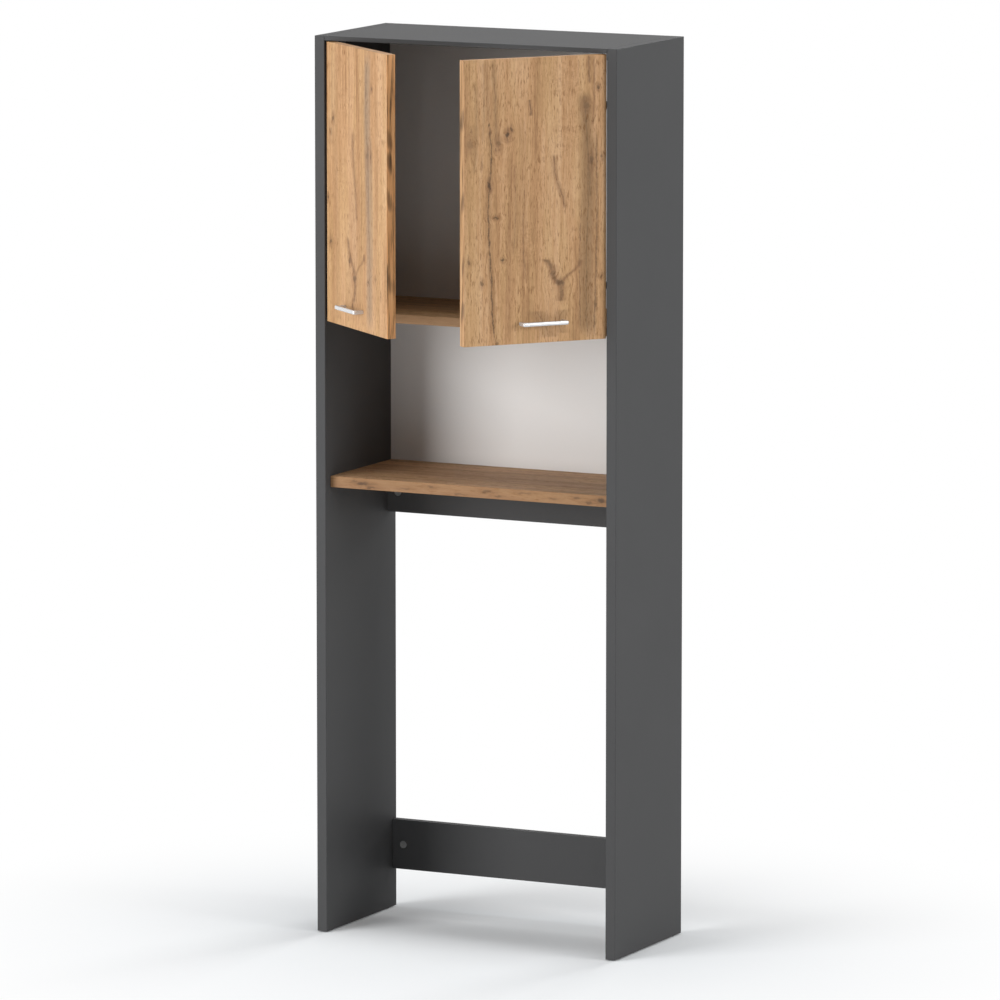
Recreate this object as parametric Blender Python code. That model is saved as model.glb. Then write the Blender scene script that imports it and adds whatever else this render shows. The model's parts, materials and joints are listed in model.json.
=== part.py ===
"""A tall cabinet with an open bay at its foot.

Two side boards stand on the floor. Between them, from below, are the open bay, a countertop, an
open niche with a light back panel, and a cupboard with two inset doors that hang ajar on concealed
hinges. Metres, +Z up, the front faces -Y. The origin is on the floor, in the middle of the box round
the whole cabinet with its doors ajar.

A door and its hinges are drawn in plan as if closed: x runs inwards from the door's hinge edge,
and y runs back from the front plane.
"""

import math

import bmesh
import bpy
from mathutils import Vector

MM = 0.001

# Carcass
WIDTH = 650 * MM
DEPTH = 300 * MM
BAY_HEIGHT = 884 * MM
NICHE_HEIGHT = 309 * MM
CUPBOARD_HEIGHT = 528 * MM
SIDE_THICKNESS = 21 * MM
TOP_THICKNESS = 9 * MM
COUNTERTOP_THICKNESS = 22 * MM
SHELF_THICKNESS = 18 * MM
FIT_GAP = 0.3 * MM
BOARD_BEVEL = 0.8 * MM
CUT_OVERRUN = 1 * MM

# Back panel in its grooves
BACK_THICKNESS = 3 * MM
BACK_INSET = 17 * MM
GROOVE_DEPTH = 7 * MM

# Cross rails of the open bay
RAIL_THICKNESS = 18 * MM
UPPER_RAIL_HEIGHT = 80 * MM
LOWER_RAIL_HEIGHT = 100 * MM
LOWER_RAIL_CLEARANCE = 80 * MM

# Doors
DOOR_THICKNESS = 18 * MM
DOOR_SIDE_GAP = 1.5 * MM
DOOR_MEETING_GAP = 3 * MM
DOOR_TOP_GAP = 2 * MM
DOOR_OVERHANG = 2 * MM
DOOR_BACK_GAP = 2 * MM
LEFT_DOOR_ANGLE = math.radians(40)
RIGHT_DOOR_ANGLE = math.radians(52)
DOOR_OPENING_ANGLE = math.radians(95)
AXIS_FROM_EDGE = 6.5 * MM
AXIS_FROM_FRONT = 0.5 * MM

# Door bumpers
BUMPER_RADIUS = 4 * MM
BUMPER_FROM_EDGE = 20 * MM

# Handles
HANDLE_LENGTH = 96 * MM
HANDLE_PROJECTION = 22 * MM
HANDLE_BAR_DEPTH = 8 * MM
HANDLE_BAR_HEIGHT = 8 * MM
HANDLE_CORNER_RADIUS = 3 * MM
HANDLE_BEVEL = 2 * MM
HANDLE_FROM_HINGE_EDGE = 137 * MM
HANDLE_FROM_BOTTOM = 38.5 * MM
SCREW_RADIUS = 2 * MM
SCREW_HEAD_RADIUS = 4 * MM
SCREW_HEAD_HEIGHT = 2.2 * MM
SCREW_GRIP = 8 * MM

# Concealed hinges
HINGE_FROM_DOOR_END = 100 * MM
CUP_RADIUS = 17.5 * MM
CUP_FROM_EDGE = 5 * MM
CUP_DEPTH = 12.7 * MM
CUP_WALL = 1 * MM
EAR_ROOT_INSET = 0.3 * MM
FLANGE_THICKNESS = 1.2 * MM
FLANGE_LIP = 1 * MM
FLANGE_WING_HALF_WIDTH = 8 * MM
FLANGE_WING_REACH = 26 * MM
CUP_PIN_FROM_EDGE = 10 * MM
CUP_PIN_BELOW_BACK = 5 * MM
ARM_PIN_FROM_EDGE = 30 * MM
ARM_PIN_BELOW_BACK = 6 * MM
PIN_RADIUS = 1.25 * MM
CUP_EYE_RADIUS = 2.8 * MM
ARM_EYE_RADIUS = 3.2 * MM
ARM_HALF_WIDTH = 7 * MM
ARM_SHEET = 2 * MM
ARM_DOOR_CLEARANCE = 3.5 * MM
ARM_SHOULDER = 5 * MM
ARM_CRANK_LENGTH = 18.5 * MM
ARM_TAIL_LENGTH = 44 * MM
ARM_CHANNEL_HEIGHT = 12 * MM
LINK_SIDE_GAP = 0.4 * MM
LINK_STRIP = 1.4 * MM
LINK_SLOT_PLAY = 1.4 * MM
LINK_END_PLAY = 0.5 * MM
LINK_LINE_SHARES = (0.07, 0.945)
HOOK_RETURN = 6.5 * MM
PLATE_HEIGHT = 8.9 * MM
PLATE_WING_THICKNESS = 2 * MM
PLATE_WING_REACH = 26 * MM
PLATE_LENGTH = 34 * MM
PLATE_SETBACK = 10 * MM

# Cam locks that hold the boards to the sides
CAM_RADIUS = 7.5 * MM
CAM_DEPTH = 12 * MM
CAM_FROM_END = 24 * MM
CAM_FROM_EDGE = 40 * MM
CAM_SLOT_LENGTH = 9 * MM
CAM_SLOT_WIDTH = 1.6 * MM
CAM_SLOT_DEPTH = 2.4 * MM

# Corner blocks under the top panel
BLOCK_SIZE = 16 * MM
BLOCK_LENGTH = 30 * MM
BLOCK_BEVEL = 1.5 * MM
BLOCK_FROM_FRONT = 30 * MM
BLOCK_FROM_BACK = 16 * MM

# Anti-tip brackets behind the back panel
BRACKET_SHEET = 2 * MM
BRACKET_HEIGHT = 40 * MM
BRACKET_LEG = 36 * MM
BRACKET_FROM_TOP = 60 * MM
BRACKET_SLOT_HALF_LENGTH = 9 * MM
BRACKET_SLOT_RADIUS = 3 * MM

# Glides under the side boards
GLIDE_HEIGHT = 2 * MM
GLIDE_RADIUS = 8 * MM
GLIDE_EDGE = 0.5 * MM
GLIDE_SPIKE_RADIUS = 1.2 * MM
GLIDE_SPIKE_LENGTH = 10 * MM
GLIDE_FROM_EDGE = 30 * MM

# Steps and shading of round shapes
ROUND_STEPS = 16
CUP_STEPS = 24
FINE_STEPS = 12
CORNER_STEPS = 4
SHARP_ANGLE = math.radians(35)

# Levels and places that follow from the sizes
HALF_INSIDE = WIDTH / 2 - SIDE_THICKNESS
COUNTERTOP_TOP = BAY_HEIGHT + COUNTERTOP_THICKNESS
SHELF_UNDERSIDE = COUNTERTOP_TOP + NICHE_HEIGHT
SHELF_TOP = SHELF_UNDERSIDE + SHELF_THICKNESS
TOP_UNDERSIDE = SHELF_TOP + CUPBOARD_HEIGHT
HEIGHT = TOP_UNDERSIDE + TOP_THICKNESS
SHELF_RECESS = DOOR_THICKNESS + DOOR_BACK_GAP
BACK_FACE = DEPTH - BACK_INSET - BACK_THICKNESS
DOOR_BOTTOM = SHELF_UNDERSIDE - DOOR_OVERHANG
DOOR_TOP = TOP_UNDERSIDE - DOOR_TOP_GAP
DOOR_WIDTH = HALF_INSIDE - DOOR_SIDE_GAP - DOOR_MEETING_GAP / 2
HINGE_LEVELS = {"lower": DOOR_BOTTOM + HINGE_FROM_DOOR_END, "upper": DOOR_TOP - HINGE_FROM_DOOR_END}
CUP_CENTRE = CUP_FROM_EDGE + CUP_RADIUS
CUP_BORE = CUP_RADIUS - CUP_WALL
ARM_FRONT = DOOR_THICKNESS + ARM_DOOR_CLEARANCE
CHEEK_INSIDE = ARM_HALF_WIDTH - ARM_SHEET
PLATE_TOP = PLATE_HEIGHT + FIT_GAP - DOOR_SIDE_GAP
ARM_BOTTOM = PLATE_TOP + FIT_GAP
ARM_TOP = ARM_BOTTOM + ARM_CHANNEL_HEIGHT
HANDLE_LEVEL = DOOR_BOTTOM + HANDLE_FROM_BOTTOM
DOOR_AXIS = Vector((AXIS_FROM_EDGE, AXIS_FROM_FRONT))
CUP_PIN = Vector((CUP_PIN_FROM_EDGE, DOOR_THICKNESS - CUP_PIN_BELOW_BACK))
ARM_PIN = Vector((ARM_PIN_FROM_EDGE, DOOR_THICKNESS - ARM_PIN_BELOW_BACK))


def turned_about(point, centre, angle):
    """The plan point turned by the angle about the centre, counterclockwise."""
    cosine, sine = math.cos(angle), math.sin(angle)
    x, y = point - centre
    return centre + Vector((x * cosine - y * sine, x * sine + y * cosine))


def door_reach(angle):
    """How far in front of the front plane the free corner of a door at this angle stands."""
    return -turned_about(Vector((DOOR_WIDTH, 0)), DOOR_AXIS, -angle).y


def link_run(angle):
    """From the cup's pin to the arm's pin, in the plan of the door, at this opening angle."""
    return turned_about(ARM_PIN, DOOR_AXIS, angle) - CUP_PIN


def link_direction(angle):
    """The direction from the cup's pin to the arm's pin, in the plan of the door, at this opening angle."""
    run = link_run(angle)
    return math.atan2(run.y, run.x)


FRONT = (max(door_reach(LEFT_DOOR_ANGLE), door_reach(RIGHT_DOOR_ANGLE)) - DEPTH) / 2
LINK_LONGEST_RUN = max(link_run(0).length, link_run(DOOR_OPENING_ANGLE).length)
LINK_EARLY, LINK_LATE = (share * DOOR_OPENING_ANGLE for share in LINK_LINE_SHARES)
LINK_RATIO = (link_direction(LINK_LATE) - link_direction(LINK_EARLY)) / (LINK_LATE - LINK_EARLY)


def link_angle(angle):
    """The link's own angle on the door: it turns evenly with the door, close to the pins' true direction."""
    return link_direction(LINK_EARLY) + LINK_RATIO * (angle - LINK_EARLY)


def new_material(name, colour, roughness, metallic=0.0):
    """A Principled material with a plain colour."""
    material = bpy.data.materials.new(name)
    material.use_nodes = True
    shader = material.node_tree.nodes["Principled BSDF"]
    shader.inputs["Base Color"].default_value = (*colour, 1)
    shader.inputs["Roughness"].default_value = roughness
    shader.inputs["Metallic"].default_value = metallic
    material.diffuse_color = (*colour, 1)
    return material


def mesh_from(builder, name="shape"):
    """A mesh from a bmesh, with its faces pointing outwards."""
    bmesh.ops.recalc_face_normals(builder, faces=builder.faces)
    mesh = bpy.data.meshes.new(name)
    builder.to_mesh(mesh)
    builder.free()
    return mesh


def box(low, high, bevel=0.0):
    """A box between two corners, with its edges bevelled if asked."""
    builder = bmesh.new()
    bmesh.ops.create_cube(builder, size=1)
    low, high = Vector(low), Vector(high)
    bmesh.ops.scale(builder, vec=high - low, verts=builder.verts)
    bmesh.ops.translate(builder, vec=(low + high) / 2, verts=builder.verts)
    if bevel:
        bmesh.ops.bevel(builder, geom=builder.edges, offset=bevel, segments=2, profile=0.5, affect="EDGES")
    return mesh_from(builder)


def prism(outline, low, high, bevel=0.0):
    """An upright prism over a plan outline, with the rims of its two ends bevelled if asked."""
    builder = bmesh.new()
    base = builder.faces.new([builder.verts.new((x, y, low)) for x, y in outline])
    wall = bmesh.ops.extrude_face_region(builder, geom=[base])
    top = [item for item in wall["geom"] if isinstance(item, bmesh.types.BMVert)]
    bmesh.ops.translate(builder, vec=(0, 0, high - low), verts=top)
    if bevel:
        rims = [edge for edge in builder.edges if edge.verts[0].co.z == edge.verts[1].co.z]
        bmesh.ops.bevel(builder, geom=rims, offset=bevel, segments=2, profile=0.5, affect="EDGES")
    return mesh_from(builder)


def turned(profile, steps, centre=(0, 0, 0), axis="Z"):
    """A solid turned about an axis, from (radius, distance along the axis) points, ends on the axis."""
    builder = bmesh.new()
    rings = []
    for radius, height in profile:
        if radius == 0:
            rings.append([builder.verts.new((0, 0, height))])
            continue
        turns = [math.tau * step / steps for step in range(steps)]
        rings.append([builder.verts.new((radius * math.cos(t), radius * math.sin(t), height)) for t in turns])
    for first, second in zip(rings, rings[1:]):
        for step in range(steps):
            following = (step + 1) % steps
            corners = [first[step % len(first)], first[following % len(first)],
                       second[following % len(second)], second[step % len(second)]]
            builder.faces.new(list(dict.fromkeys(corners)))
    for vert in builder.verts:
        x, y, z = vert.co
        vert.co = {"X": (z, x, y), "Y": (x, z, y), "Z": (x, y, z)}[axis]
    bmesh.ops.translate(builder, vec=centre, verts=builder.verts)
    return mesh_from(builder)


def rod(centre, radius, low, high, axis, steps=ROUND_STEPS):
    """A plain cylinder that runs from low to high along an axis."""
    return turned([(0, low), (radius, low), (radius, high), (0, high)], steps, centre, axis)


def carved(shape, cutters=(), additions=(), smooth=False):
    """The shape as a mesh with the cutters taken from it and the additions joined to it."""
    scene = bpy.context.scene.collection
    body = bpy.data.objects.new("body", shape)
    scene.objects.link(body)
    helpers = []
    for operation, meshes in (("DIFFERENCE", cutters), ("UNION", additions)):
        for mesh in meshes:
            helper = bpy.data.objects.new("helper", mesh)
            scene.objects.link(helper)
            helpers.append(helper)
            modifier = body.modifiers.new(operation.lower(), "BOOLEAN")
            modifier.operation = operation
            modifier.object = helper
    graph = bpy.context.evaluated_depsgraph_get()
    result = bpy.data.meshes.new_from_object(body.evaluated_get(graph))
    for helper in [body, *helpers]:
        bpy.data.objects.remove(helper)
    if smooth:
        result.shade_smooth()
        result.set_sharp_from_angle(angle=SHARP_ANGLE)
    return result


def add_piece(name, mesh, material, location=(0, 0, 0), parent=None):
    """Put a named object with its material into the scene."""
    if not mesh.materials:
        mesh.materials.append(material)
    piece = bpy.data.objects.new(name, mesh)
    bpy.context.scene.collection.objects.link(piece)
    piece.location = location
    piece.parent = parent
    return piece


def add_axis(name, location, turn, parent=None):
    """An empty on a joint's axis, turned to the resting angle."""
    axis = bpy.data.objects.new(name, None)
    bpy.context.scene.collection.objects.link(axis)
    axis.location = location
    axis.rotation_euler.z = turn
    axis.parent = parent
    return axis


def arc(centre, radius, start, end, steps):
    """Plan points along an arc, both ends among them."""
    turns = [start + (end - start) * step / steps for step in range(steps + 1)]
    return [(centre[0] + radius * math.cos(turn), centre[1] + radius * math.sin(turn)) for turn in turns]


def mirrored(outline, side):
    """A plan outline drawn inwards from the hinge edge, laid out for the right (+1) or left (-1) side."""
    return [(-side * x, y) for x, y in outline]


def side_board(side):
    """A side board with the back panel's groove and the glides' holes."""
    inner, outer = side * HALF_INSIDE, side * WIDTH / 2
    low, high = min(inner, outer), max(inner, outer)
    board = box((low, FRONT, GLIDE_HEIGHT), (high, FRONT + DEPTH, HEIGHT), BOARD_BEVEL)
    ends = sorted((inner - side * CUT_OVERRUN, inner + side * GROOVE_DEPTH))
    groove = box(
        (ends[0], FRONT + BACK_FACE - FIT_GAP, BAY_HEIGHT - UPPER_RAIL_HEIGHT - FIT_GAP),
        (ends[1], FRONT + BACK_FACE + BACK_THICKNESS + FIT_GAP, TOP_UNDERSIDE),
    )
    holes = [
        rod((x, y, 0), GLIDE_SPIKE_RADIUS + FIT_GAP, GLIDE_HEIGHT - CUT_OVERRUN,
            GLIDE_HEIGHT + GLIDE_SPIKE_LENGTH + FIT_GAP, "Z", FINE_STEPS)
        for x, y in glide_places(side)
    ]
    return carved(board, [groove, *holes])


def glide_places(side):
    """Plan places of the two glides under a side board."""
    centre = side * (HALF_INSIDE + SIDE_THICKNESS / 2)
    return [(centre, FRONT + GLIDE_FROM_EDGE), (centre, FRONT + DEPTH - GLIDE_FROM_EDGE)]


def glide():
    """A thin plastic glide with its spike."""
    disc_top = GLIDE_HEIGHT - FIT_GAP
    tip = GLIDE_HEIGHT + GLIDE_SPIKE_LENGTH
    profile = [
        (0, 0), (GLIDE_RADIUS - GLIDE_EDGE, 0), (GLIDE_RADIUS, GLIDE_EDGE), (GLIDE_RADIUS, disc_top),
        (GLIDE_SPIKE_RADIUS, disc_top), (GLIDE_SPIKE_RADIUS, tip - 2 * GLIDE_SPIKE_RADIUS), (0, tip),
    ]
    mesh = turned(profile, ROUND_STEPS)
    mesh.shade_smooth()
    mesh.set_sharp_from_angle(angle=SHARP_ANGLE)
    return mesh


def cam_lock():
    """A cam lock's housing, its slotted face down."""
    body = rod((0, 0, 0), CAM_RADIUS, 0, CAM_DEPTH, "Z")
    slot = box(
        (-CAM_SLOT_LENGTH / 2, -CAM_SLOT_WIDTH / 2, -CUT_OVERRUN),
        (CAM_SLOT_LENGTH / 2, CAM_SLOT_WIDTH / 2, CAM_SLOT_DEPTH),
    )
    return carved(body, [slot], smooth=True)


def board_cams(underside):
    """Places of the four cam locks in a board's underside."""
    end = HALF_INSIDE - FIT_GAP - CAM_FROM_END
    rows = (FRONT + SHELF_RECESS + CAM_FROM_EDGE, FRONT + BACK_FACE - FIT_GAP - CAM_FROM_EDGE)
    return [(side * end, row, underside) for side in (-1, 1) for row in rows]


def shelf_board(underside, thickness):
    """A board between the sides, back to the back panel, with its cam bores."""
    half = HALF_INSIDE - FIT_GAP
    board = box(
        (-half, FRONT + SHELF_RECESS, underside),
        (half, FRONT + BACK_FACE - FIT_GAP, underside + thickness), BOARD_BEVEL,
    )
    bores = [
        rod(place, CAM_RADIUS + FIT_GAP, -CUT_OVERRUN, CAM_DEPTH + FIT_GAP, "Z")
        for place in board_cams(underside)
    ]
    return carved(board, bores)


def rail_cams(front, bottom, height):
    """Places of the two cam locks in a rail's front face."""
    end = HALF_INSIDE - FIT_GAP - CAM_FROM_END
    return [(side * end, front, bottom + height / 2) for side in (-1, 1)]


def rail(front, bottom, height):
    """A cross rail between the sides, with its cam bores."""
    half = HALF_INSIDE - FIT_GAP
    board = box((-half, front, bottom), (half, front + RAIL_THICKNESS, bottom + height), BOARD_BEVEL)
    bores = [
        rod(place, CAM_RADIUS + FIT_GAP, -CUT_OVERRUN, CAM_DEPTH + FIT_GAP, "Y")
        for place in rail_cams(front, bottom, height)
    ]
    return carved(board, bores)


def wall_bracket(side):
    """An angle of sheet steel: one leg on the side board, the other along the wall with a slot."""
    inner = HALF_INSIDE - FIT_GAP
    rear = FRONT + DEPTH - FIT_GAP
    front = FRONT + BACK_FACE + BACK_THICKNESS + FIT_GAP
    outline = [
        (inner, front), (inner, rear), (inner - BRACKET_LEG, rear),
        (inner - BRACKET_LEG, rear - BRACKET_SHEET), (inner - BRACKET_SHEET, rear - BRACKET_SHEET),
        (inner - BRACKET_SHEET, front),
    ]
    top = TOP_UNDERSIDE - BRACKET_FROM_TOP
    shape = prism([(side * x, y) for x, y in outline], top - BRACKET_HEIGHT, top)
    middle = side * (inner - BRACKET_LEG / 2 - BRACKET_SHEET / 2)
    level = top - BRACKET_HEIGHT / 2
    straight = BRACKET_SLOT_HALF_LENGTH - BRACKET_SLOT_RADIUS
    ring = arc((0, 0), BRACKET_SLOT_RADIUS, -math.pi / 2, math.pi / 2, 2 * CORNER_STEPS)
    right_end = [(x + straight, z) for x, z in ring]
    left_end = [(-x, -z) for x, z in right_end]
    builder = bmesh.new()
    near, far = rear - BRACKET_SHEET - CUT_OVERRUN, rear + CUT_OVERRUN
    rim = [builder.verts.new((middle + x, near, level + z)) for x, z in right_end + left_end]
    face = builder.faces.new(rim)
    wall = bmesh.ops.extrude_face_region(builder, geom=[face])
    ends = [item for item in wall["geom"] if isinstance(item, bmesh.types.BMVert)]
    bmesh.ops.translate(builder, vec=(0, far - near, 0), verts=ends)
    return carved(shape, [mesh_from(builder)])


def add_carcass(paint, oak, white, metal, plastic):
    """Everything of the cabinet that doesn't move, but the hinge arms and plates."""
    half = HALF_INSIDE - FIT_GAP
    cam, foot = cam_lock(), glide()
    for side, name in ((-1, "left"), (1, "right")):
        add_piece(f"side_panel_{name}", side_board(side), paint)
        add_piece(f"wall_bracket_{name}", wall_bracket(side), metal)
        for (x, y), row in zip(glide_places(side), ("front", "rear")):
            add_piece(f"foot_glide_{row}_{name}", foot, plastic, (x, y, 0))
    top = box((-half, FRONT, TOP_UNDERSIDE), (half, FRONT + DEPTH, HEIGHT), BOARD_BEVEL)
    add_piece("top_panel", top, paint)
    add_piece("countertop", shelf_board(BAY_HEIGHT, COUNTERTOP_THICKNESS), oak)
    add_piece("cupboard_floor", shelf_board(SHELF_UNDERSIDE, SHELF_THICKNESS), oak)
    tongue = HALF_INSIDE + GROOVE_DEPTH - FIT_GAP
    back = box(
        (-tongue, FRONT + BACK_FACE, BAY_HEIGHT - UPPER_RAIL_HEIGHT),
        (tongue, FRONT + BACK_FACE + BACK_THICKNESS, TOP_UNDERSIDE - FIT_GAP),
    )
    add_piece("back_panel", back, white)
    for board, underside in (("countertop", BAY_HEIGHT), ("cupboard_floor", SHELF_UNDERSIDE)):
        ends = ("left_front", "left_rear", "right_front", "right_rear")
        for place, end in zip(board_cams(underside), ends):
            add_piece(f"cam_lock_{board}_{end}", cam, metal, place)
    upper_front = FRONT + BACK_FACE - FIT_GAP - RAIL_THICKNESS
    upper = (upper_front, BAY_HEIGHT - FIT_GAP - UPPER_RAIL_HEIGHT, UPPER_RAIL_HEIGHT)
    lower = (FRONT + DEPTH - RAIL_THICKNESS, LOWER_RAIL_CLEARANCE, LOWER_RAIL_HEIGHT)
    for name, place in (("upper", upper), ("lower", lower)):
        add_piece(f"{name}_rear_rail", rail(*place), paint)
        for spot, end in zip(rail_cams(*place), ("left", "right")):
            piece = add_piece(f"cam_lock_{name}_rail_{end}", cam, metal, spot)
            piece.rotation_euler.x = -math.pi / 2
    add_corner_blocks(plastic)


def add_corner_blocks(plastic):
    """The four blocks that hold the top panel to the sides."""
    block = box((-BLOCK_SIZE / 2, 0, -BLOCK_SIZE), (BLOCK_SIZE / 2, BLOCK_LENGTH, 0), BLOCK_BEVEL)
    rows = {"front": BLOCK_FROM_FRONT, "rear": BACK_FACE - BLOCK_FROM_BACK - BLOCK_LENGTH}
    for side, name in ((-1, "left"), (1, "right")):
        for row, distance in rows.items():
            x = side * (HALF_INSIDE - FIT_GAP - BLOCK_SIZE / 2)
            place = (x, FRONT + distance, TOP_UNDERSIDE - FIT_GAP)
            add_piece(f"corner_block_{row}_{name}", block, plastic, place)


def handle_screw_places(side):
    """Where a door's two handle screws stand, measured inwards from the hinge edge."""
    spread = (HANDLE_LENGTH - HANDLE_BAR_DEPTH) / 2
    return {"inner": HANDLE_FROM_HINGE_EDGE + spread, "outer": HANDLE_FROM_HINGE_EDGE - spread}


def door_board(side):
    """A door with its two hinge bores and its handle's holes."""
    ends = sorted((0, -side * DOOR_WIDTH))
    board = box((ends[0], 0, DOOR_BOTTOM), (ends[1], DOOR_THICKNESS, DOOR_TOP), BOARD_BEVEL)
    bores = [
        rod((-side * CUP_CENTRE, 0, level), CUP_RADIUS + FIT_GAP,
            DOOR_THICKNESS - CUP_DEPTH - FIT_GAP, DOOR_THICKNESS + CUT_OVERRUN, "Y", CUP_STEPS)
        for level in HINGE_LEVELS.values()
    ]
    holes = [
        rod((-side * x, 0, HANDLE_LEVEL), SCREW_RADIUS + FIT_GAP, -CUT_OVERRUN,
            DOOR_THICKNESS + CUT_OVERRUN, "Y", FINE_STEPS)
        for x in handle_screw_places(side).values()
    ]
    return carved(board, [*bores, *holes])


def handle(side):
    """A bow handle of rectangular bar with rounded corners, standing on the door's front face."""
    half, bar = HANDLE_LENGTH / 2, HANDLE_BAR_DEPTH
    corner = HANDLE_CORNER_RADIUS
    left = arc((corner - half, corner - HANDLE_PROJECTION), corner, math.pi, 3 * math.pi / 2, CORNER_STEPS)
    right = arc((half - corner, corner - HANDLE_PROJECTION), corner, -math.pi / 2, 0, CORNER_STEPS)
    outline = [
        (-half, -FIT_GAP), *left, *right, (half, -FIT_GAP), (half - bar, -FIT_GAP),
        (half - bar, bar - HANDLE_PROJECTION), (bar - half, bar - HANDLE_PROJECTION), (bar - half, -FIT_GAP),
    ]
    low, high = HANDLE_LEVEL - HANDLE_BAR_HEIGHT / 2, HANDLE_LEVEL + HANDLE_BAR_HEIGHT / 2
    placed = mirrored([(HANDLE_FROM_HINGE_EDGE + x, y) for x, y in outline], side)
    holes = [
        rod((-side * x, 0, HANDLE_LEVEL), SCREW_RADIUS + FIT_GAP, -SCREW_GRIP - FIT_GAP,
            CUT_OVERRUN, "Y", FINE_STEPS)
        for x in handle_screw_places(side).values()
    ]
    return carved(prism(placed, low, high, HANDLE_BEVEL), holes, smooth=True)


def handle_screw():
    """A pan-head machine screw through the door into the handle's leg."""
    seat = DOOR_THICKNESS + FIT_GAP
    profile = [
        (0, -SCREW_GRIP), (SCREW_RADIUS, -SCREW_GRIP), (SCREW_RADIUS, seat), (SCREW_HEAD_RADIUS, seat),
        (SCREW_HEAD_RADIUS, seat + SCREW_HEAD_HEIGHT / 2), (SCREW_HEAD_RADIUS / 2, seat + SCREW_HEAD_HEIGHT),
        (0, seat + SCREW_HEAD_HEIGHT),
    ]
    mesh = turned(profile, FINE_STEPS, axis="Y")
    mesh.shade_smooth()
    mesh.set_sharp_from_angle(angle=SHARP_ANGLE)
    return mesh


def hinge_cup(side):
    """The cup in the door: flange, pocket, and the two ears that hold its pin."""
    back, centre = DOOR_THICKNESS, -side * CUP_CENTRE
    flange = back + FLANGE_THICKNESS
    profile = [
        (0, back - CUP_DEPTH), (CUP_RADIUS, back - CUP_DEPTH), (CUP_RADIUS, back + FIT_GAP),
        (CUP_RADIUS + FLANGE_LIP, back + FIT_GAP), (CUP_RADIUS + FLANGE_LIP, flange), (0, flange),
    ]
    body = turned(profile, CUP_STEPS, (centre, 0, 0), "Y")
    wings = box(
        (centre - FLANGE_WING_HALF_WIDTH, back + FIT_GAP, -FLANGE_WING_REACH),
        (centre + FLANGE_WING_HALF_WIDTH, flange, FLANGE_WING_REACH),
    )
    pocket = rod((centre, 0, 0), CUP_BORE, back - CUP_DEPTH + CUP_WALL, flange + CUT_OVERRUN, "Y", CUP_STEPS)
    notch_ends = sorted((0, -side * CUP_PIN.x))
    notch = box(
        (notch_ends[0], back - CUP_WALL, -ARM_HALF_WIDTH - FIT_GAP),
        (notch_ends[1], flange + CUT_OVERRUN, ARM_HALF_WIDTH + FIT_GAP),
    )
    wall = CUP_CENTRE - math.sqrt((CUP_RADIUS - EAR_ROOT_INSET) ** 2 - ARM_HALF_WIDTH ** 2)
    eye = arc(CUP_PIN, CUP_EYE_RADIUS, -math.pi / 2, math.pi / 2, 2 * CORNER_STEPS)
    ear = mirrored([(wall, eye[0][1]), *eye, (wall, eye[-1][1])], side)
    ears = [prism(ear, CHEEK_INSIDE, ARM_HALF_WIDTH), prism(ear, -ARM_HALF_WIDTH, -CHEEK_INSIDE)]
    middle = (CHEEK_INSIDE + ARM_HALF_WIDTH) / 2
    pin = rod((-side * CUP_PIN.x, CUP_PIN.y, 0), PIN_RADIUS, -middle, middle, "Z", FINE_STEPS)
    cup = carved(carved(body, additions=[wings]), [pocket, notch])
    return carved(cup, additions=[*ears, pin], smooth=True)


def hinge_arm(side):
    """The arm on the side board: a channel of sheet that cranks inwards to its pin in the cup."""
    eye_x, reach = ARM_PIN.x, ARM_PIN.x + ARM_EYE_RADIUS
    shoulder = ARM_FRONT + ARM_SHOULDER
    crank_end = ARM_FRONT + ARM_CRANK_LENGTH
    tail_end = crank_end + ARM_TAIL_LENGTH
    foot_x = (ARM_BOTTOM + ARM_TOP) / 2
    eye = arc(ARM_PIN, ARM_EYE_RADIUS, math.pi, math.tau, 2 * CORNER_STEPS)
    outline = [
        *eye, (reach, shoulder), (ARM_TOP, crank_end), (ARM_TOP, tail_end), (ARM_BOTTOM, tail_end),
        (ARM_BOTTOM, shoulder), (foot_x, ARM_FRONT), (eye_x - ARM_EYE_RADIUS, ARM_FRONT),
    ]
    shape = prism(mirrored(outline, side), -ARM_HALF_WIDTH, ARM_HALF_WIDTH)
    below = -DOOR_SIDE_GAP
    hollow = [
        (below, 0), (reach + CUT_OVERRUN, 0), (reach + CUT_OVERRUN, ARM_FRONT),
        (reach - ARM_SHEET, ARM_FRONT), (reach - ARM_SHEET, shoulder - ARM_SHEET / 2),
        (ARM_TOP - ARM_SHEET, crank_end - ARM_SHEET / 2), (ARM_TOP - ARM_SHEET, tail_end + CUT_OVERRUN),
        (below, tail_end + CUT_OVERRUN),
    ]
    inside = prism(mirrored(hollow, side), -CHEEK_INSIDE, CHEEK_INSIDE)
    middle = (CHEEK_INSIDE + ARM_HALF_WIDTH) / 2
    pin = rod((-side * eye_x, ARM_PIN.y, 0), PIN_RADIUS, -middle, middle, "Z", FINE_STEPS)
    return carved(shape, [inside], [pin], smooth=True)


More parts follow.
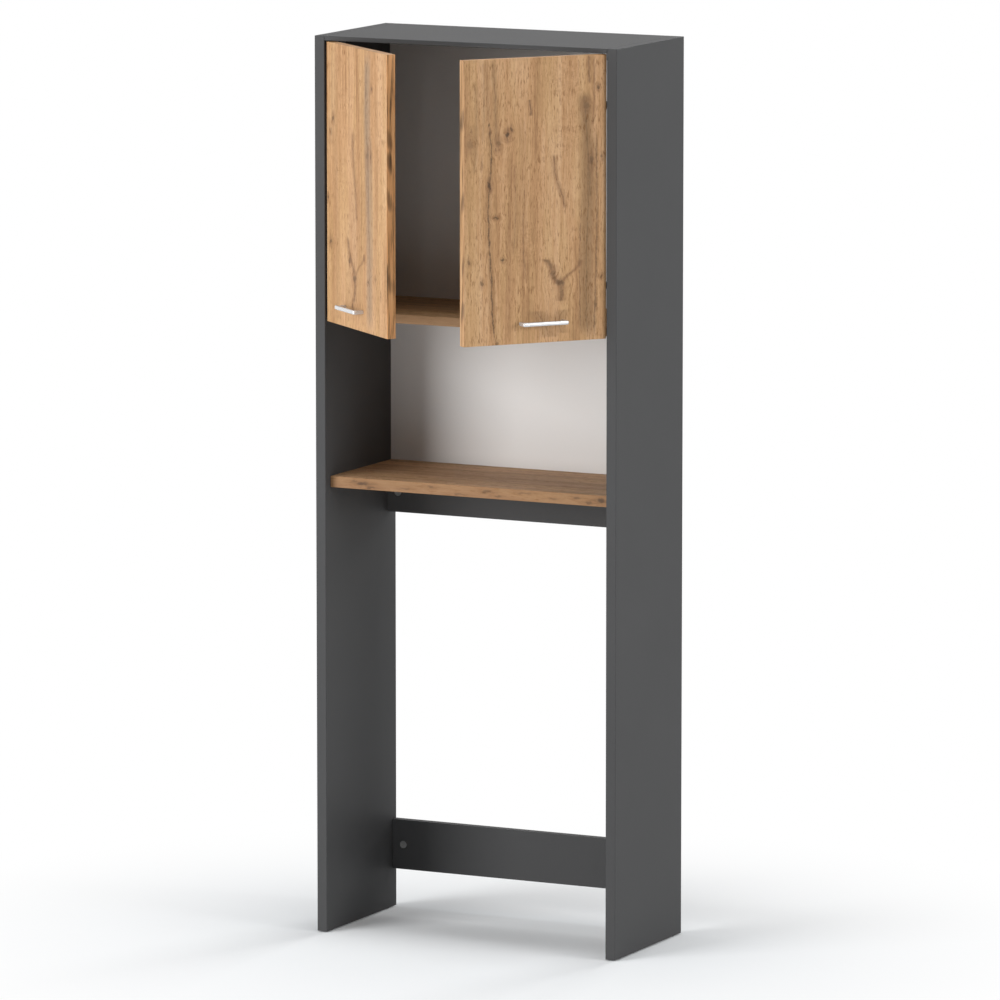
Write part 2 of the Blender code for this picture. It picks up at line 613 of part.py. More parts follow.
def hinge_plate(side):
    """The plate on the side board: a block for the arm between two wings for its screws."""
    bottom, top = FIT_GAP - DOOR_SIDE_GAP, PLATE_TOP
    wing = bottom + PLATE_WING_THICKNESS
    front = ARM_FRONT + ARM_CRANK_LENGTH + PLATE_SETBACK
    section = [
        (bottom, -PLATE_WING_REACH), (wing, -PLATE_WING_REACH), (wing, -ARM_HALF_WIDTH),
        (top, -ARM_HALF_WIDTH), (top, ARM_HALF_WIDTH), (wing, ARM_HALF_WIDTH),
        (wing, PLATE_WING_REACH), (bottom, PLATE_WING_REACH),
    ]
    builder = bmesh.new()
    face = builder.faces.new([builder.verts.new((-side * x, front, z)) for x, z in section])
    body = bmesh.ops.extrude_face_region(builder, geom=[face])
    ends = [item for item in body["geom"] if isinstance(item, bmesh.types.BMVert)]
    bmesh.ops.translate(builder, vec=(0, PLATE_LENGTH, 0), verts=ends)
    return mesh_from(builder)


def hinge_link(side):
    """The link between cup and arm: an eye on the cup's pin and a hook that slides on the arm's pin.

    Drawn with x along the link from the cup's pin, and y towards the bottom of the cup.
    """
    play = PIN_RADIUS + LINK_SLOT_PLAY
    edge, tip_inside = play + LINK_STRIP, LINK_LONGEST_RUN + PIN_RADIUS + LINK_END_PLAY
    tip = tip_inside + LINK_STRIP
    mouth = tip_inside - HOOK_RETURN
    eye = arc((0, 0), CUP_EYE_RADIUS, math.pi / 2, math.tau, 3 * CORNER_STEPS)
    outline = [
        *eye, (CUP_EYE_RADIUS + LINK_STRIP / 2, play), (tip_inside, play), (tip_inside, -play),
        (mouth, -play), (mouth, -edge), (tip_inside, -edge), (tip, -play), (tip, play), (tip_inside, edge),
        (CUP_EYE_RADIUS, edge),
    ]
    placed = [(-side * x, -y) for x, y in outline]
    half = CHEEK_INSIDE - LINK_SIDE_GAP
    bore = rod((0, 0, 0), PIN_RADIUS + FIT_GAP, -half - CUT_OVERRUN, half + CUT_OVERRUN, "Z", FINE_STEPS)
    return carved(prism(placed, -half, half), [bore], smooth=True)


def add_bumper(name, side, parent, place, plastic):
    """The disc on a door's back that meets the cupboard floor's front edge."""
    x = DOOR_WIDTH - BUMPER_FROM_EDGE
    level = SHELF_UNDERSIDE + SHELF_THICKNESS / 2
    disc = rod((-side * x, 0, level), BUMPER_RADIUS, DOOR_THICKNESS + FIT_GAP, SHELF_RECESS - FIT_GAP, "Y")
    disc.shade_smooth()
    disc.set_sharp_from_angle(angle=SHARP_ANGLE)
    add_piece(f"door_bumper_{name}", disc, plastic, place, parent)


def add_door(name, side, angle, oak, chrome, metal, plastic):
    """A door at its resting angle, with its handle, its two hinges and its bumper."""
    edge = side * (HALF_INSIDE - DOOR_SIDE_GAP)
    axis = add_axis(f"{name}_door_axis", (edge - side * DOOR_AXIS.x, FRONT + DOOR_AXIS.y, 0), side * angle)
    place = Vector((side * DOOR_AXIS.x, -DOOR_AXIS.y, 0))
    add_piece(f"door_{name}", door_board(side), oak, place, axis)
    add_piece(f"handle_{name}", handle(side), chrome, place, axis)
    screw = handle_screw()
    for row, x in handle_screw_places(side).items():
        spot = place + Vector((-side * x, 0, HANDLE_LEVEL))
        add_piece(f"handle_screw_{row}_{name}", screw, metal, spot, axis)
    add_bumper(name, side, axis, place, plastic)
    pin = place + Vector((-side * CUP_PIN.x, CUP_PIN.y, 0))
    link_axis = add_axis(f"{name}_link_axis", pin, -side * link_angle(angle), axis)
    cup, link = hinge_cup(side), hinge_link(side)
    arm, plate = hinge_arm(side), hinge_plate(side)
    for row, level in HINGE_LEVELS.items():
        add_piece(f"hinge_cup_{row}_{name}", cup, metal, place + Vector((0, 0, level)), axis)
        add_piece(f"hinge_link_{row}_{name}", link, metal, (0, 0, level), link_axis)
        add_piece(f"hinge_arm_{row}_{name}", arm, metal, (edge, FRONT, level))
        add_piece(f"hinge_plate_{row}_{name}", plate, metal, (edge, FRONT, level))


def main():
    """Clear the scene and build the cabinet."""
    for item in list(bpy.data.objects):
        bpy.data.objects.remove(item)
    paint = new_material("graphite_board", (0.105, 0.105, 0.108), 0.55)
    oak = new_material("oak_board", (0.55, 0.36, 0.20), 0.55)
    white = new_material("light_board", (0.72, 0.71, 0.69), 0.5)
    chrome = new_material("satin_chrome", (0.80, 0.80, 0.80), 0.25, 1.0)
    metal = new_material("zinc_steel", (0.66, 0.66, 0.65), 0.35, 1.0)
    plastic = new_material("grey_plastic", (0.16, 0.16, 0.165), 0.5)
    add_carcass(paint, oak, white, metal, plastic)
    add_door("left", -1, LEFT_DOOR_ANGLE, oak, chrome, metal, plastic)
    add_door("right", 1, RIGHT_DOOR_ANGLE, oak, chrome, metal, plastic)


if __name__ == "__main__":
    main()
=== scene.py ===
"""The looks of a tall two-door cabinet: an open bay, a worktop, a niche and a cupboard on top.

Metres, +Z up, the cabinet's front faces -Y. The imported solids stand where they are: this script
gives them their finishes, puts finer handles and handle screws in their places, adds the small
fasteners, and sets up the studio.
"""

import json
import logging
import math
from collections.abc import Callable, Mapping, Sequence
from dataclasses import dataclass, field, replace
from enum import Enum
from typing import Any

import bmesh
import bpy
from mathutils import Matrix, Vector


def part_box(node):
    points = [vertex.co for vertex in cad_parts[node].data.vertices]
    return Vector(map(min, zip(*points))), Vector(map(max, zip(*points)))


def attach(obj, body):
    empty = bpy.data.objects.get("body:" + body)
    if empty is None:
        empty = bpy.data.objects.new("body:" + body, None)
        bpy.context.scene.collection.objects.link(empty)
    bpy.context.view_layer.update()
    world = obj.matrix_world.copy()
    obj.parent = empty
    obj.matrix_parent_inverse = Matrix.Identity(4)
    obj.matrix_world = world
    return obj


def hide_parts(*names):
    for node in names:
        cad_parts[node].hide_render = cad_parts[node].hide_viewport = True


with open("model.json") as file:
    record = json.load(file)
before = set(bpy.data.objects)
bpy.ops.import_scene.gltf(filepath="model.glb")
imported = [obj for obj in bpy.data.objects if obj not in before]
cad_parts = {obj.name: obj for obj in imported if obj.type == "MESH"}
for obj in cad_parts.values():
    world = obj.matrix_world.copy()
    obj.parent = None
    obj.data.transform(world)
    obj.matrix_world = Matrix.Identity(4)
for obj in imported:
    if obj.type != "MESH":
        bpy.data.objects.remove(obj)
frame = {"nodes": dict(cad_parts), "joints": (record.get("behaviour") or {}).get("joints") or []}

LOG = logging.getLogger("cabinet")
MM = 0.001
ROWS = ("lower", "upper")
Colour = tuple[float, float, float]
Point = tuple[float, float]


class Side(Enum):
    """Left or right, as the cabinet is seen from its front."""

    LEFT = -1
    RIGHT = 1

    @property
    def word(self) -> str:
        """The word that piece names use."""
        return self.name.lower()


def maths(operation: str, flipped: bool = False) -> Callable[..., "Field"]:
    """A method that puts a field and other terms into a Math node.

    Args:
        operation: what the node does.
        flipped: whether the field comes last, as in a reflected operator.

    Returns:
        The method.
    """

    def method(self: "Field", *others: "Field | float") -> "Field":
        """What the node gives."""
        terms = (*others, self) if flipped else (self, *others)
        return self.graph.node("ShaderNodeMath", {"operation": operation}, dict(enumerate(terms)))

    return method


class Field:
    """A shader value that takes part in Python expressions.

    Args:
        graph: the builder of the node tree that the value belongs to.
        socket: the output socket that gives the value.
    """

    __add__ = __radd__ = maths("ADD")
    __sub__ = maths("SUBTRACT")
    __rsub__ = maths("SUBTRACT", flipped=True)
    __mul__ = __rmul__ = maths("MULTIPLY")
    __truediv__ = maths("DIVIDE")
    __rtruediv__ = maths("DIVIDE", flipped=True)
    __pow__ = maths("POWER")
    __rpow__ = maths("POWER", flipped=True)
    __abs__ = maths("ABSOLUTE")
    exp = maths("EXPONENT")
    root = maths("SQRT")
    fraction = maths("FRACT")
    most = maths("MAXIMUM")

    def __init__(self, graph: "Graph", socket: bpy.types.NodeSocket) -> None:
        self.graph = graph
        self.socket = socket

    def rise(self, start: float, end: float) -> "Field":
        """A smooth step.

        Args:
            start: the value at which the step is 0.
            end: the value at which it is 1, above or below start.

        Returns:
            The step, from 0 to 1.
        """
        settings = {"interpolation_type": "SMOOTHSTEP"}
        inputs = {"Value": self, "From Min": start, "From Max": end}
        return self.graph.node("ShaderNodeMapRange", settings, inputs)


class Graph:
    """Builds the nodes of a material or of the world.

    Args:
        owner: the material or the world.
    """

    def __init__(self, owner: bpy.types.Material | bpy.types.World) -> None:
        owner.use_nodes = True
        self.owner = owner
        self.tree = owner.node_tree
        self.tree.nodes.clear()

    @classmethod
    def material(cls, name: str) -> "Graph":
        """The builder of a new material."""
        return cls(bpy.data.materials.new(name))

    def node(self, kind: str, settings: Mapping[str, Any] | None = None,
             inputs: Mapping[str | int, Any] | None = None, output: int | str = 0) -> Field:
        """Add a node of any type.

        Args:
            kind: the node's type.
            settings: its properties, a ramp's stops and a curve's points among them.
            inputs: values or fields for its sockets, by name or number.
            output: the output that is returned.

        Returns:
            The output as a field.
        """
        made = self.tree.nodes.new(kind)
        for key, value in (settings or {}).items():
            if key == "stops":
                self._set_stops(made.color_ramp, value)
            elif key == "points":
                self._set_points(made.mapping, value)
            else:
                setattr(made, key, value)
        for key, value in (inputs or {}).items():
            if isinstance(value, Field):
                self.tree.links.new(value.socket, made.inputs[key])
            elif isinstance(value, tuple) and made.inputs[key].type == "RGBA":
                made.inputs[key].default_value = (*value, 1)
            else:
                made.inputs[key].default_value = value
        return Field(self, made.outputs[output])

    @staticmethod
    def _set_stops(ramp: bpy.types.ColorRamp, stops: Sequence[tuple[float, Colour]]) -> None:
        """Give a colour ramp its stops.

        Args:
            ramp: the ramp.
            stops: places and colours, upwards.
        """
        for place, _ in stops[len(ramp.elements):]:
            ramp.elements.new(place)
        for element, (place, colour) in zip(ramp.elements, stops):
            element.position = place
            element.color = (*colour, 1)

    @staticmethod
    def _set_points(mapping: bpy.types.CurveMapping, points: Sequence[Point]) -> None:
        """Give a curve its points.

        Args:
            mapping: the curve's mapping.
            points: places and values, from left to right.
        """
        curve = mapping.curves[0]
        for place, value in points[1:-1]:
            curve.points.new(place, value)
        for knot, (place, value) in zip(curve.points, points):
            knot.location = (place, value)
        mapping.update()

    def vector(self, x: Field | float, y: Field | float, z: Field | float) -> Field:
        """Three values as a vector."""
        return self.node("ShaderNodeCombineXYZ", None, {0: x, 1: y, 2: z})

    def place(self, centre: tuple[float, float, float] = (0, 0, 0),
              turn: float = 0.0) -> tuple[Field, Field, Field]:
        """The object's coordinates about a centre, unturned by an angle about Z.

        Args:
            centre: the point that becomes zero.
            turn: the angle by which the piece was turned, in radians.

        Returns:
            The three coordinates.
        """
        seen = self.node("ShaderNodeTexCoord", None, None, "Object")
        moved = self.node("ShaderNodeMapping", {"vector_type": "TEXTURE"},
                          {"Vector": seen, "Location": centre, "Rotation": (0, 0, turn)})
        parts = self.node("ShaderNodeSeparateXYZ", None, {0: moved})
        x, y, z = parts.socket.node.outputs
        return Field(self, x), Field(self, y), Field(self, z)

    def noise(self, vector: Field, cells: float | tuple[float, float, float], detail: float = 2.0,
              roughness: float = 0.5) -> Field:
        """Smooth noise, about one half on average.

        Args:
            vector: where it is looked up.
            cells: how many of its cells lie in a metre, in all ways or along each axis.
            detail: how many finer layers are added.
            roughness: how strong they are.

        Returns:
            The noise, from 0 to 1.
        """
        if isinstance(cells, tuple):
            vector = self.node("ShaderNodeVectorMath", {"operation": "MULTIPLY"},
                               {0: vector, 1: cells})
            cells = 1.0
        inputs = {"Vector": vector, "Scale": cells, "Detail": detail, "Roughness": roughness}
        return self.node("ShaderNodeTexNoise", None, inputs)

    def mix(self, share: Field | float, under: Field | Colour, over: Field | Colour) -> Field:
        """Two colours mixed by a share of the second."""
        settings = {"data_type": "RGBA", "clamp_factor": True}
        return self.node("ShaderNodeMix", settings, {0: share, 6: under, 7: over}, 2)

    def ramp(self, value: Field, *stops: tuple[float, Colour]) -> Field:
        """The value as a colour, from stops."""
        return self.node("ShaderNodeValToRGB", {"stops": stops}, {0: value})

    def curve(self, value: Field, points: Sequence[Point]) -> Field:
        """A smooth function from 0..1 to 0..1 through points."""
        return self.node("ShaderNodeFloatCurve", {"points": points},
                         {"Factor": 1.0, "Value": value})

    def relief(self, height: Field, depth: float, strength: float = 0.5) -> Field:
        """A bump of this depth, in metres."""
        return self.node("ShaderNodeBump", None,
                         {"Strength": strength, "Distance": depth, "Height": height})

    def finish(self, **sockets: Any) -> bpy.types.Material:
        """Add the shader and the output.

        Args:
            sockets: values or fields of the shader's sockets, with underscores for spaces.

        Returns:
            The finished material.
        """
        inputs = {key.replace("_", " "): value for key, value in sockets.items()}
        self.close(self.node("ShaderNodeBsdfPrincipled", None, inputs))
        return self.owner

    def close(self, shader: Field, kind: str = "ShaderNodeOutputMaterial") -> None:
        """Link a shader to the tree's output."""
        output = self.tree.nodes.new(kind)
        self.tree.links.new(shader.socket, output.inputs["Surface"])


@dataclass(frozen=True)
class GraphiteLaminate:
    """Dark grey melamine with a fine pearl texture and banded edges."""

    name: str = "graphite_laminate"
    dark: Colour = (0.056, 0.056, 0.057)
    light: Colour = (0.078, 0.078, 0.079)
    band: Colour = (0.038, 0.038, 0.038)
    half_width: float = 325 * MM
    half_inside: float = 304 * MM
    band_thickness: float = 0.9 * MM
    seam_width: float = 0.35 * MM
    seam_core: float = 0.1 * MM
    band_depths: Point = (0.5 * MM, 0.3 * MM)
    cloud_cells: float = 4.0
    fleck_cells: float = 420.0
    pearl_cells: float = 1500.0
    relief: float = 0.06 * MM
    gloss: float = 0.12

    def build(self, front: float) -> bpy.types.Material:
        """Make the material.

        Args:
            front: the Y of the cabinet's front plane.

        Returns:
            The material.
        """
        graph = Graph.material(self.name)
        x, y, z = graph.place()
        spot = graph.vector(x, y, z)
        cloud = graph.noise(spot, self.cloud_cells, 3.0)
        pearl = graph.noise(spot, self.pearl_cells, 1.0)
        flecks = graph.noise(spot, self.fleck_cells)
        tone = cloud * 0.5 + pearl * 0.35 + flecks * 0.35 - 0.1
        body = graph.mix(tone, self.dark, self.light)
        outer, inner = (abs(abs(x) - plane).rise(self.seam_width, self.seam_core)
                        for plane in (self.half_width - self.band_thickness,
                                      self.half_inside + self.band_thickness))
        start, end = self.band_depths
        seam = outer.most(inner) * y.rise(front + start, front + end)
        colour = graph.mix(seam * 0.6, body, self.band)
        roughness = 0.5 + flecks * 0.14
        normal = graph.relief(pearl * 0.6 + flecks * 0.8 - seam, self.relief, 0.55)
        return graph.finish(Base_Color=colour, Roughness=roughness,
                            Specular_IOR_Level=self.gloss, Normal=normal)


class Tint(Enum):
    """What colours the wood beside a streak."""

    RUST = (0.24, 0.115, 0.050)
    BROWN = (0.235, 0.130, 0.056)
    GREY = (0.300, 0.215, 0.145)


class Cells(Enum):
    """How many cells of an oak noise lie in a metre, across and through the board and along it."""

    SHAKE = (110, 110, 60)
    SWAY = (9, 9, 3.2)
    PATCH = (30, 30, 2.8)
    BROAD = (26, 26, 1.5)
    WAVE = (40, 40, 22)
    STREAK = (190, 190, 6)
    FINE = (620, 620, 34)
    DASH = (330, 330, 56)
    VESSEL = (1300, 1300, 95)


@dataclass(frozen=True)
class Mark:
    """A round place: its middle, inwards from the hinge edge and up, and its half sizes, in mm."""

    across: float
    up: float
    width: float
    height: float

    def offsets(self, across: Field, along: Field) -> tuple[Field, Field]:
        """How far a point lies from the middle, in half sizes.

        Args:
            across: the point's distance inwards.
            along: its height.

        Returns:
            The distances inwards and up.
        """
        return ((across - self.across * MM) * (1 / (self.width * MM)),
                (along - self.up * MM) * (1 / (self.height * MM)))


@dataclass(frozen=True)
class Knot(Mark):
    """A knot, with its darkness and the strength of its warm rim."""

    dark: float = 1.0
    halo: float = 1.0


class Dapple(Mark):
    """A patch of short cross flecks."""


@dataclass(frozen=True)
class Streak:
    """A split or a band along the grain, or a band of painted shade, from its top point to its
    bottom one, in mm.

    The line has a width and a darkness. The band beside it has a half width, a strength and a
    tint.
    """

    points: tuple[Point, ...]
    width: float = 1.6
    dark: float = 0.0
    halo: float = 0.0
    shade: float = 0.0
    tint: Tint = Tint.RUST


@dataclass(frozen=True)
class OakDecor:
    """Knotty oak: figure that bends round its knots, dense pores, splits, dark streaks and a few
    bands of painted shade.

    A board lies with its grain along X and has an edge plane, and a door stands with its grain
    upright and has a side, a width, a centre and a turn.
    """

    name: str
    drift: float
    deep: Colour = (0.275, 0.134, 0.050)
    middle: Colour = (0.515, 0.286, 0.131)
    pale: Colour = (0.662, 0.414, 0.228)
    gold: Colour = (0.560, 0.362, 0.158)
    pore: Colour = (0.205, 0.088, 0.026)
    bark: Colour = (0.055, 0.029, 0.014)
    end_middle: Colour = (0.47, 0.262, 0.125)
    end_pale: Colour = (0.60, 0.370, 0.200)
    end_knots: tuple[float, ...] = ()
    knots: tuple[Knot, ...] = ()
    streaks: tuple[Streak, ...] = ()
    dapples: tuple[Dapple, ...] = ()
    edge_plane: float | None = None
    edging: Colour = (0.262, 0.145, 0.070)
    side: Side | None = None
    board_width: float = 0.0
    centre: tuple[float, float, float] = (0.0, 0.0, 0.0)
    turn: float = 0.0
    knot_shake: Point = (11 * MM, 16 * MM)
    knot_sway: float = 3 * MM
    streak_shake: float = 8.5 * MM
    gilding: float = 0.26
    dappling: float = 0.20
    pore_strength: float = 0.82
    end_knot_shake: Point = (34 * MM, 60 * MM)
    end_knot_size: Point = (6 * MM, 15 * MM)
    end_knot_depth: float = 6 * MM
    band_start: float = 1.0 * MM
    band_end: float = 0.5 * MM
    relief: float = 0.18 * MM
    gloss: float = 0.3

    def build(self) -> bpy.types.Material:
        """Make the material.

        Returns:
            The material.
        """
        graph = Graph.material(self.name)
        x, y, z = graph.place(self.centre, self.turn)
        if self.side:
            across, depth, along = x * -self.side.value, y, z
        else:
            across, depth, along = y + z, z - y * 0.2, x
        spot = graph.vector(across + self.drift, depth, along + self.drift)
        shake = graph.noise(spot, Cells.SHAKE.value, 3.0, 0.6) - 0.5
        sway = graph.noise(spot, Cells.SWAY.value) - 0.5
        near = across + shake * self.knot_shake[0] + sway * self.knot_sway
        bend, heart, rim = self._knots(near, along + shake * self.knot_shake[1])
        dark, bands = self._streaks(graph, across + shake * self.streak_shake, along)
        height, tone, pores = self._figure(graph, across + bend, depth, along, sway)
        body = graph.ramp(tone, (0.20, self.deep), (0.47, self.middle), (0.78, self.pale))
        patch = graph.noise(spot, Cells.PATCH.value).rise(0.44, 0.60)
        body = graph.mix(patch * self.gilding, body, self.gold)
        body = graph.mix(self._flecks(graph, across, along) * self.dappling, body, self.deep)
        # The bands hold the wood's own streaks and, on the doors, a few bands of painted shade.
        for tint, band in bands.items():
            body = graph.mix(band * (pores * 0.25 + 0.75), body, tint.value)
        body = graph.mix(rim * (shake * 2.4 + 0.9), body, Tint.RUST.value)
        body = graph.mix(pores * self.pore_strength, body, self.pore)
        if self.edge_plane is not None:
            strip = y.rise(self.edge_plane + self.band_start, self.edge_plane + self.band_end)
            body = graph.mix(strip * 0.75, body, self.edging)
        if self.side:
            body = self._free_end(graph, body, across, depth, along)
        body = graph.mix(heart.most(dark), body, self.bark)
        sunk = heart * 0.5 + dark
        normal = graph.relief(height - pores * 0.5 - sunk * 0.8, self.relief)
        roughness = 0.52 + tone * 0.12 + pores * 0.1
        return graph.finish(Base_Color=body, Roughness=roughness,
                            Specular_IOR_Level=self.gloss, Normal=normal)

    def _figure(self, graph: Graph, across: Field, depth: Field, along: Field,
                sway: Field) -> tuple[Field, Field, Field]:
        """The figure that the knots bend: broad bands, streaks and pores.

        Args:
            graph: the material's builder.
            across: the place across the grain, bent.
            depth: the place through the board.
            along: the place along the grain.
            sway: the noise that makes the grain wander.

        Returns:
            The height of the grain, its tone and its pores.
        """
        spot = graph.vector(across + self.drift, depth, along + self.drift)
        broad = graph.noise(spot, Cells.BROAD.value, 3.0, 0.55)
        wave = graph.noise(spot, Cells.WAVE.value)
        rings = abs(((across + sway * 0.028 + broad * 0.02) * 62).fraction() - 0.5) * 2
        streaks = graph.noise(spot, Cells.STREAK.value, 4.0, 0.62)
        fine = graph.noise(spot, Cells.FINE.value, 2.0, 0.6)
        dashes = graph.noise(spot, Cells.DASH.value, 2.5, 0.65).rise(0.50, 0.66)
        vessels = graph.noise(spot, Cells.VESSEL.value, 1.0).rise(0.60, 0.74)
        pores = (dashes * (wave.rise(0.25, 0.75) * 0.8 + 0.2)).most(vessels * 0.7)
        tone = broad * 1.05 + streaks * 0.70 + fine * 0.48 + rings * 0.06 + wave * 0.18 - 0.72
        return streaks * 0.4 + fine * 0.6 + wave * 0.8, tone, pores

    def _knots(self, across: Field, along: Field) -> tuple[Field, Field, Field]:
        """All the knots of the board.

        Args:
            across: the place across the grain, shaken.
            along: the place along the grain, shaken.

        Returns:
            How far the grain bends, the dark hearts with their tails, and the warm rims.
        """
        bend, heart, rim = across * 0, across * 0, across * 0
        for knot in self.knots:
            aside, above = knot.offsets(across, along)
            level, rise = aside ** 2, above ** 2
            reach = level + rise
            bend = bend + aside * (reach * -0.11).exp() * (-0.6 * knot.width * MM)
            tail = (level * 3.0 + rise * 0.09).rise(1.1, 0.0) * (0.32 * knot.dark)
            heart = heart.most(reach.rise(1.5, 0.1) * (0.85 * knot.dark)).most(tail)
            warm = (level * 0.5 + rise * 0.32).rise(4.0, 0.1)
            rim = rim.most(warm * (0.62 * knot.dark * knot.halo))
        return bend, heart, rim

    def _streaks(self, graph: Graph, across: Field,
                 along: Field) -> tuple[Field, dict[Tint, Field]]:
        """All the streaks of the board.

        Args:
            graph: the material's builder.
            across: the place across the grain, shaken.
            along: the place along the grain.

        Returns:
            The dark lines, and the bands beside them by their tint.
        """
        dark = across * 0
        bands: dict[Tint, Field] = {}
        vary = graph.noise(graph.vector(along * 70, self.drift, 0.0), 1.0, 3.0, 0.7)
        for streak in self.streaks:
            places = [place for place, _ in streak.points]
            top, bottom = streak.points[0][1], streak.points[-1][1]
            left, right = min(places) - 5, max(places) + 5
            run = (along - bottom * MM) * (1 / ((top - bottom) * MM))
            path = graph.curve(run, [
                ((up - bottom) / (top - bottom), (place - left) / (right - left))
                for place, up in reversed(streak.points)])
            off = abs(across - (path * ((right - left) * MM) + left * MM))
            ends = run.rise(-0.02, 0.08) * run.rise(1.02, 0.92)
            if streak.dark:
                half = (vary * 1.7 + 0.05) * (streak.width * MM / 2)
                line = (off / half).rise(1.6, 0.2) * ends
                dark = dark.most(line * (vary * 1.2 * streak.dark))
            if streak.halo:
                reach = streak.halo * MM
                band = off.rise(reach, 0.2 * reach) * ends * streak.shade
                tint = streak.tint
                bands[tint] = bands[tint].most(band) if tint in bands else band
        return dark, bands

    def _flecks(self, graph: Graph, across: Field, along: Field) -> Field:
        """Short wavy flecks across the grain, in the dappled patches.

        Args:
            graph: the material's builder.
            across: the place across the grain.
            along: the place along it.

        Returns:
            The flecks' mask.
        """
        spread = across * 0
        for dapple in self.dapples:
            aside, above = dapple.offsets(across, along)
            spread = spread.most((aside ** 2 + above ** 2).rise(1.2, 0.2))
        spot = graph.vector(across * 150, self.drift, along * 230)
        return spread * graph.noise(spot, 1.0).rise(0.42, 0.62)

    def _free_end(self, graph: Graph, body: Field, across: Field, depth: Field,
                  along: Field) -> Field:
        """Put the darker, knotty band on a door's free end.

        Args:
            graph: the material's builder.
            body: the board's colour so far.
            across: the place inwards from the hinge edge.
            depth: the place through the board.
            along: the place along the grain.

        Returns:
            The colour with the band on it.
        """
        end = across.rise(self.board_width - self.band_start, self.board_width - self.band_end)
        spot = graph.vector(depth * 190, self.drift, along * 8)
        cloud = graph.noise(spot, 1.0, 4.0, 0.65)
        stain = graph.ramp(cloud, (0.28, self.bark), (0.38, Tint.BROWN.value),
                           (0.50, self.end_middle), (0.68, self.end_pale))
        heart = across * 0
        (shake_aside, shake_above), (width, height) = self.end_knot_shake, self.end_knot_size
        for level in self.end_knots:
            above = along - level * MM + depth * 1.6 + (cloud - 0.5) * shake_above
            aside = depth - self.end_knot_depth + (cloud - 0.5) * shake_aside
            above, aside = above * (1 / height), aside * (1 / width)
            heart = heart.most((above ** 2 + aside ** 2).rise(2.4, 0.0))
        stain = graph.mix(heart * 0.6, stain, self.bark)
        return graph.mix(end, body, stain)


@dataclass(frozen=True)
class BackBoard:
    """Thin board: pale paper foil on its front, plain pressed fibre on its back."""

    name: str = "foiled_back_board"
    foil: Colour = (0.733, 0.719, 0.705)
    foil_shade: Colour = (0.673, 0.659, 0.645)
    fibre: Colour = (0.33, 0.215, 0.125)
    fibre_pale: Colour = (0.46, 0.32, 0.195)
    cloud_cells: float = 3.0
    mesh_cells: float = 700.0
    fibre_cells: tuple[float, float, float] = (260.0, 260.0, 260.0)
    seam: float = 0.2 * MM
    relief: float = 0.12 * MM

    def build(self, middle: float) -> bpy.types.Material:
        """Make the material.

        Args:
            middle: the Y of the board's own middle plane.

        Returns:
            The material.
        """
        graph = Graph.material(self.name)
        x, y, z = graph.place()
        spot = graph.vector(x, y, z)
        cloud = graph.noise(spot, self.cloud_cells, 3.0)
        mesh = graph.noise(spot, self.mesh_cells)
        fibres = graph.noise(spot, self.fibre_cells, 4.0, 0.75)
        front = graph.mix(cloud * 0.6 + mesh * 0.3, self.foil, self.foil_shade)
        rear = graph.mix(fibres.rise(0.34, 0.68), self.fibre, self.fibre_pale)
        behind = y.rise(middle, middle + self.seam)
        colour = graph.mix(behind, front, rear)
        normal = graph.relief(mesh * 0.4 + fibres * behind, self.relief)
        return graph.finish(Base_Color=colour, Roughness=0.48 + behind * 0.3, Normal=normal)


@dataclass(frozen=True)
class BrightMetal:
    """Plated metal, brushed or tumbled, with faint smudges."""

    name: str
    dark: Colour
    light: Colour
    rough: float
    scratch_cells: tuple[float, float, float]
    metal: float = 1.0
    smudge_cells: float = 90.0
    relief: float = 0.02 * MM

    def build(self) -> bpy.types.Material:
        """Make the material.

        Returns:
            The material.
        """
        graph = Graph.material(self.name)
        x, y, z = graph.place()
        spot = graph.vector(x, y, z)
        smudge = graph.noise(spot, self.smudge_cells, 3.0)
        lines = graph.noise(spot, self.scratch_cells, 3.0, 0.6)
        colour = graph.mix(smudge * 0.6 + lines * 0.4, self.dark, self.light)
        roughness = self.rough - 0.08 + smudge * 0.16
        normal = graph.relief(lines, self.relief, 0.3)
        return graph.finish(Base_Color=colour, Metallic=self.metal, Roughness=roughness,
                            Normal=normal)


@dataclass(frozen=True)
class MouldedPlastic:
    """Moulded plastic with a spark-eroded texture."""

    name: str = "moulded_grey_plastic"
    dark: Colour = (0.12, 0.12, 0.125)
    light: Colour = (0.19, 0.19, 0.195)
    grain_cells: float = 1800.0
    flow_cells: float = 60.0
    relief: float = 0.05 * MM

    def build(self) -> bpy.types.Material:
        """Make the material.

        Returns:
            The material.
        """
        graph = Graph.material(self.name)
        x, y, z = graph.place()
        spot = graph.vector(x, y, z)
        grain = graph.noise(spot, self.grain_cells)
        flow = graph.noise(spot, self.flow_cells)
        colour = graph.mix(flow * 0.7 + grain * 0.3, self.dark, self.light)
        normal = graph.relief(grain, self.relief)
        return graph.finish(Base_Color=colour, Roughness=0.42 + grain * 0.2, Normal=normal)


def linked(name: str, data: bpy.types.ID) -> bpy.types.Object:
    """Put a new object into the scene.

    Args:
        name: the object's name.
        data: its mesh, lamp or camera.

    Returns:
        The object.
    """
    made = bpy.data.objects.new(name, data)
    bpy.context.scene.collection.objects.link(made)
    return made


def dress(names: Sequence[str], material: bpy.types.Material) -> None:
    """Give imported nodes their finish.

    Args:
        names: the nodes.
        material: the finish.
    """
    for name in names:
        node = frame["nodes"][name]
        if not node.material_slots:
            node.data.materials.append(material)
        for slot in node.material_slots:
            slot.material = material
        LOG.info("dressed %s in %s", name, material.name)


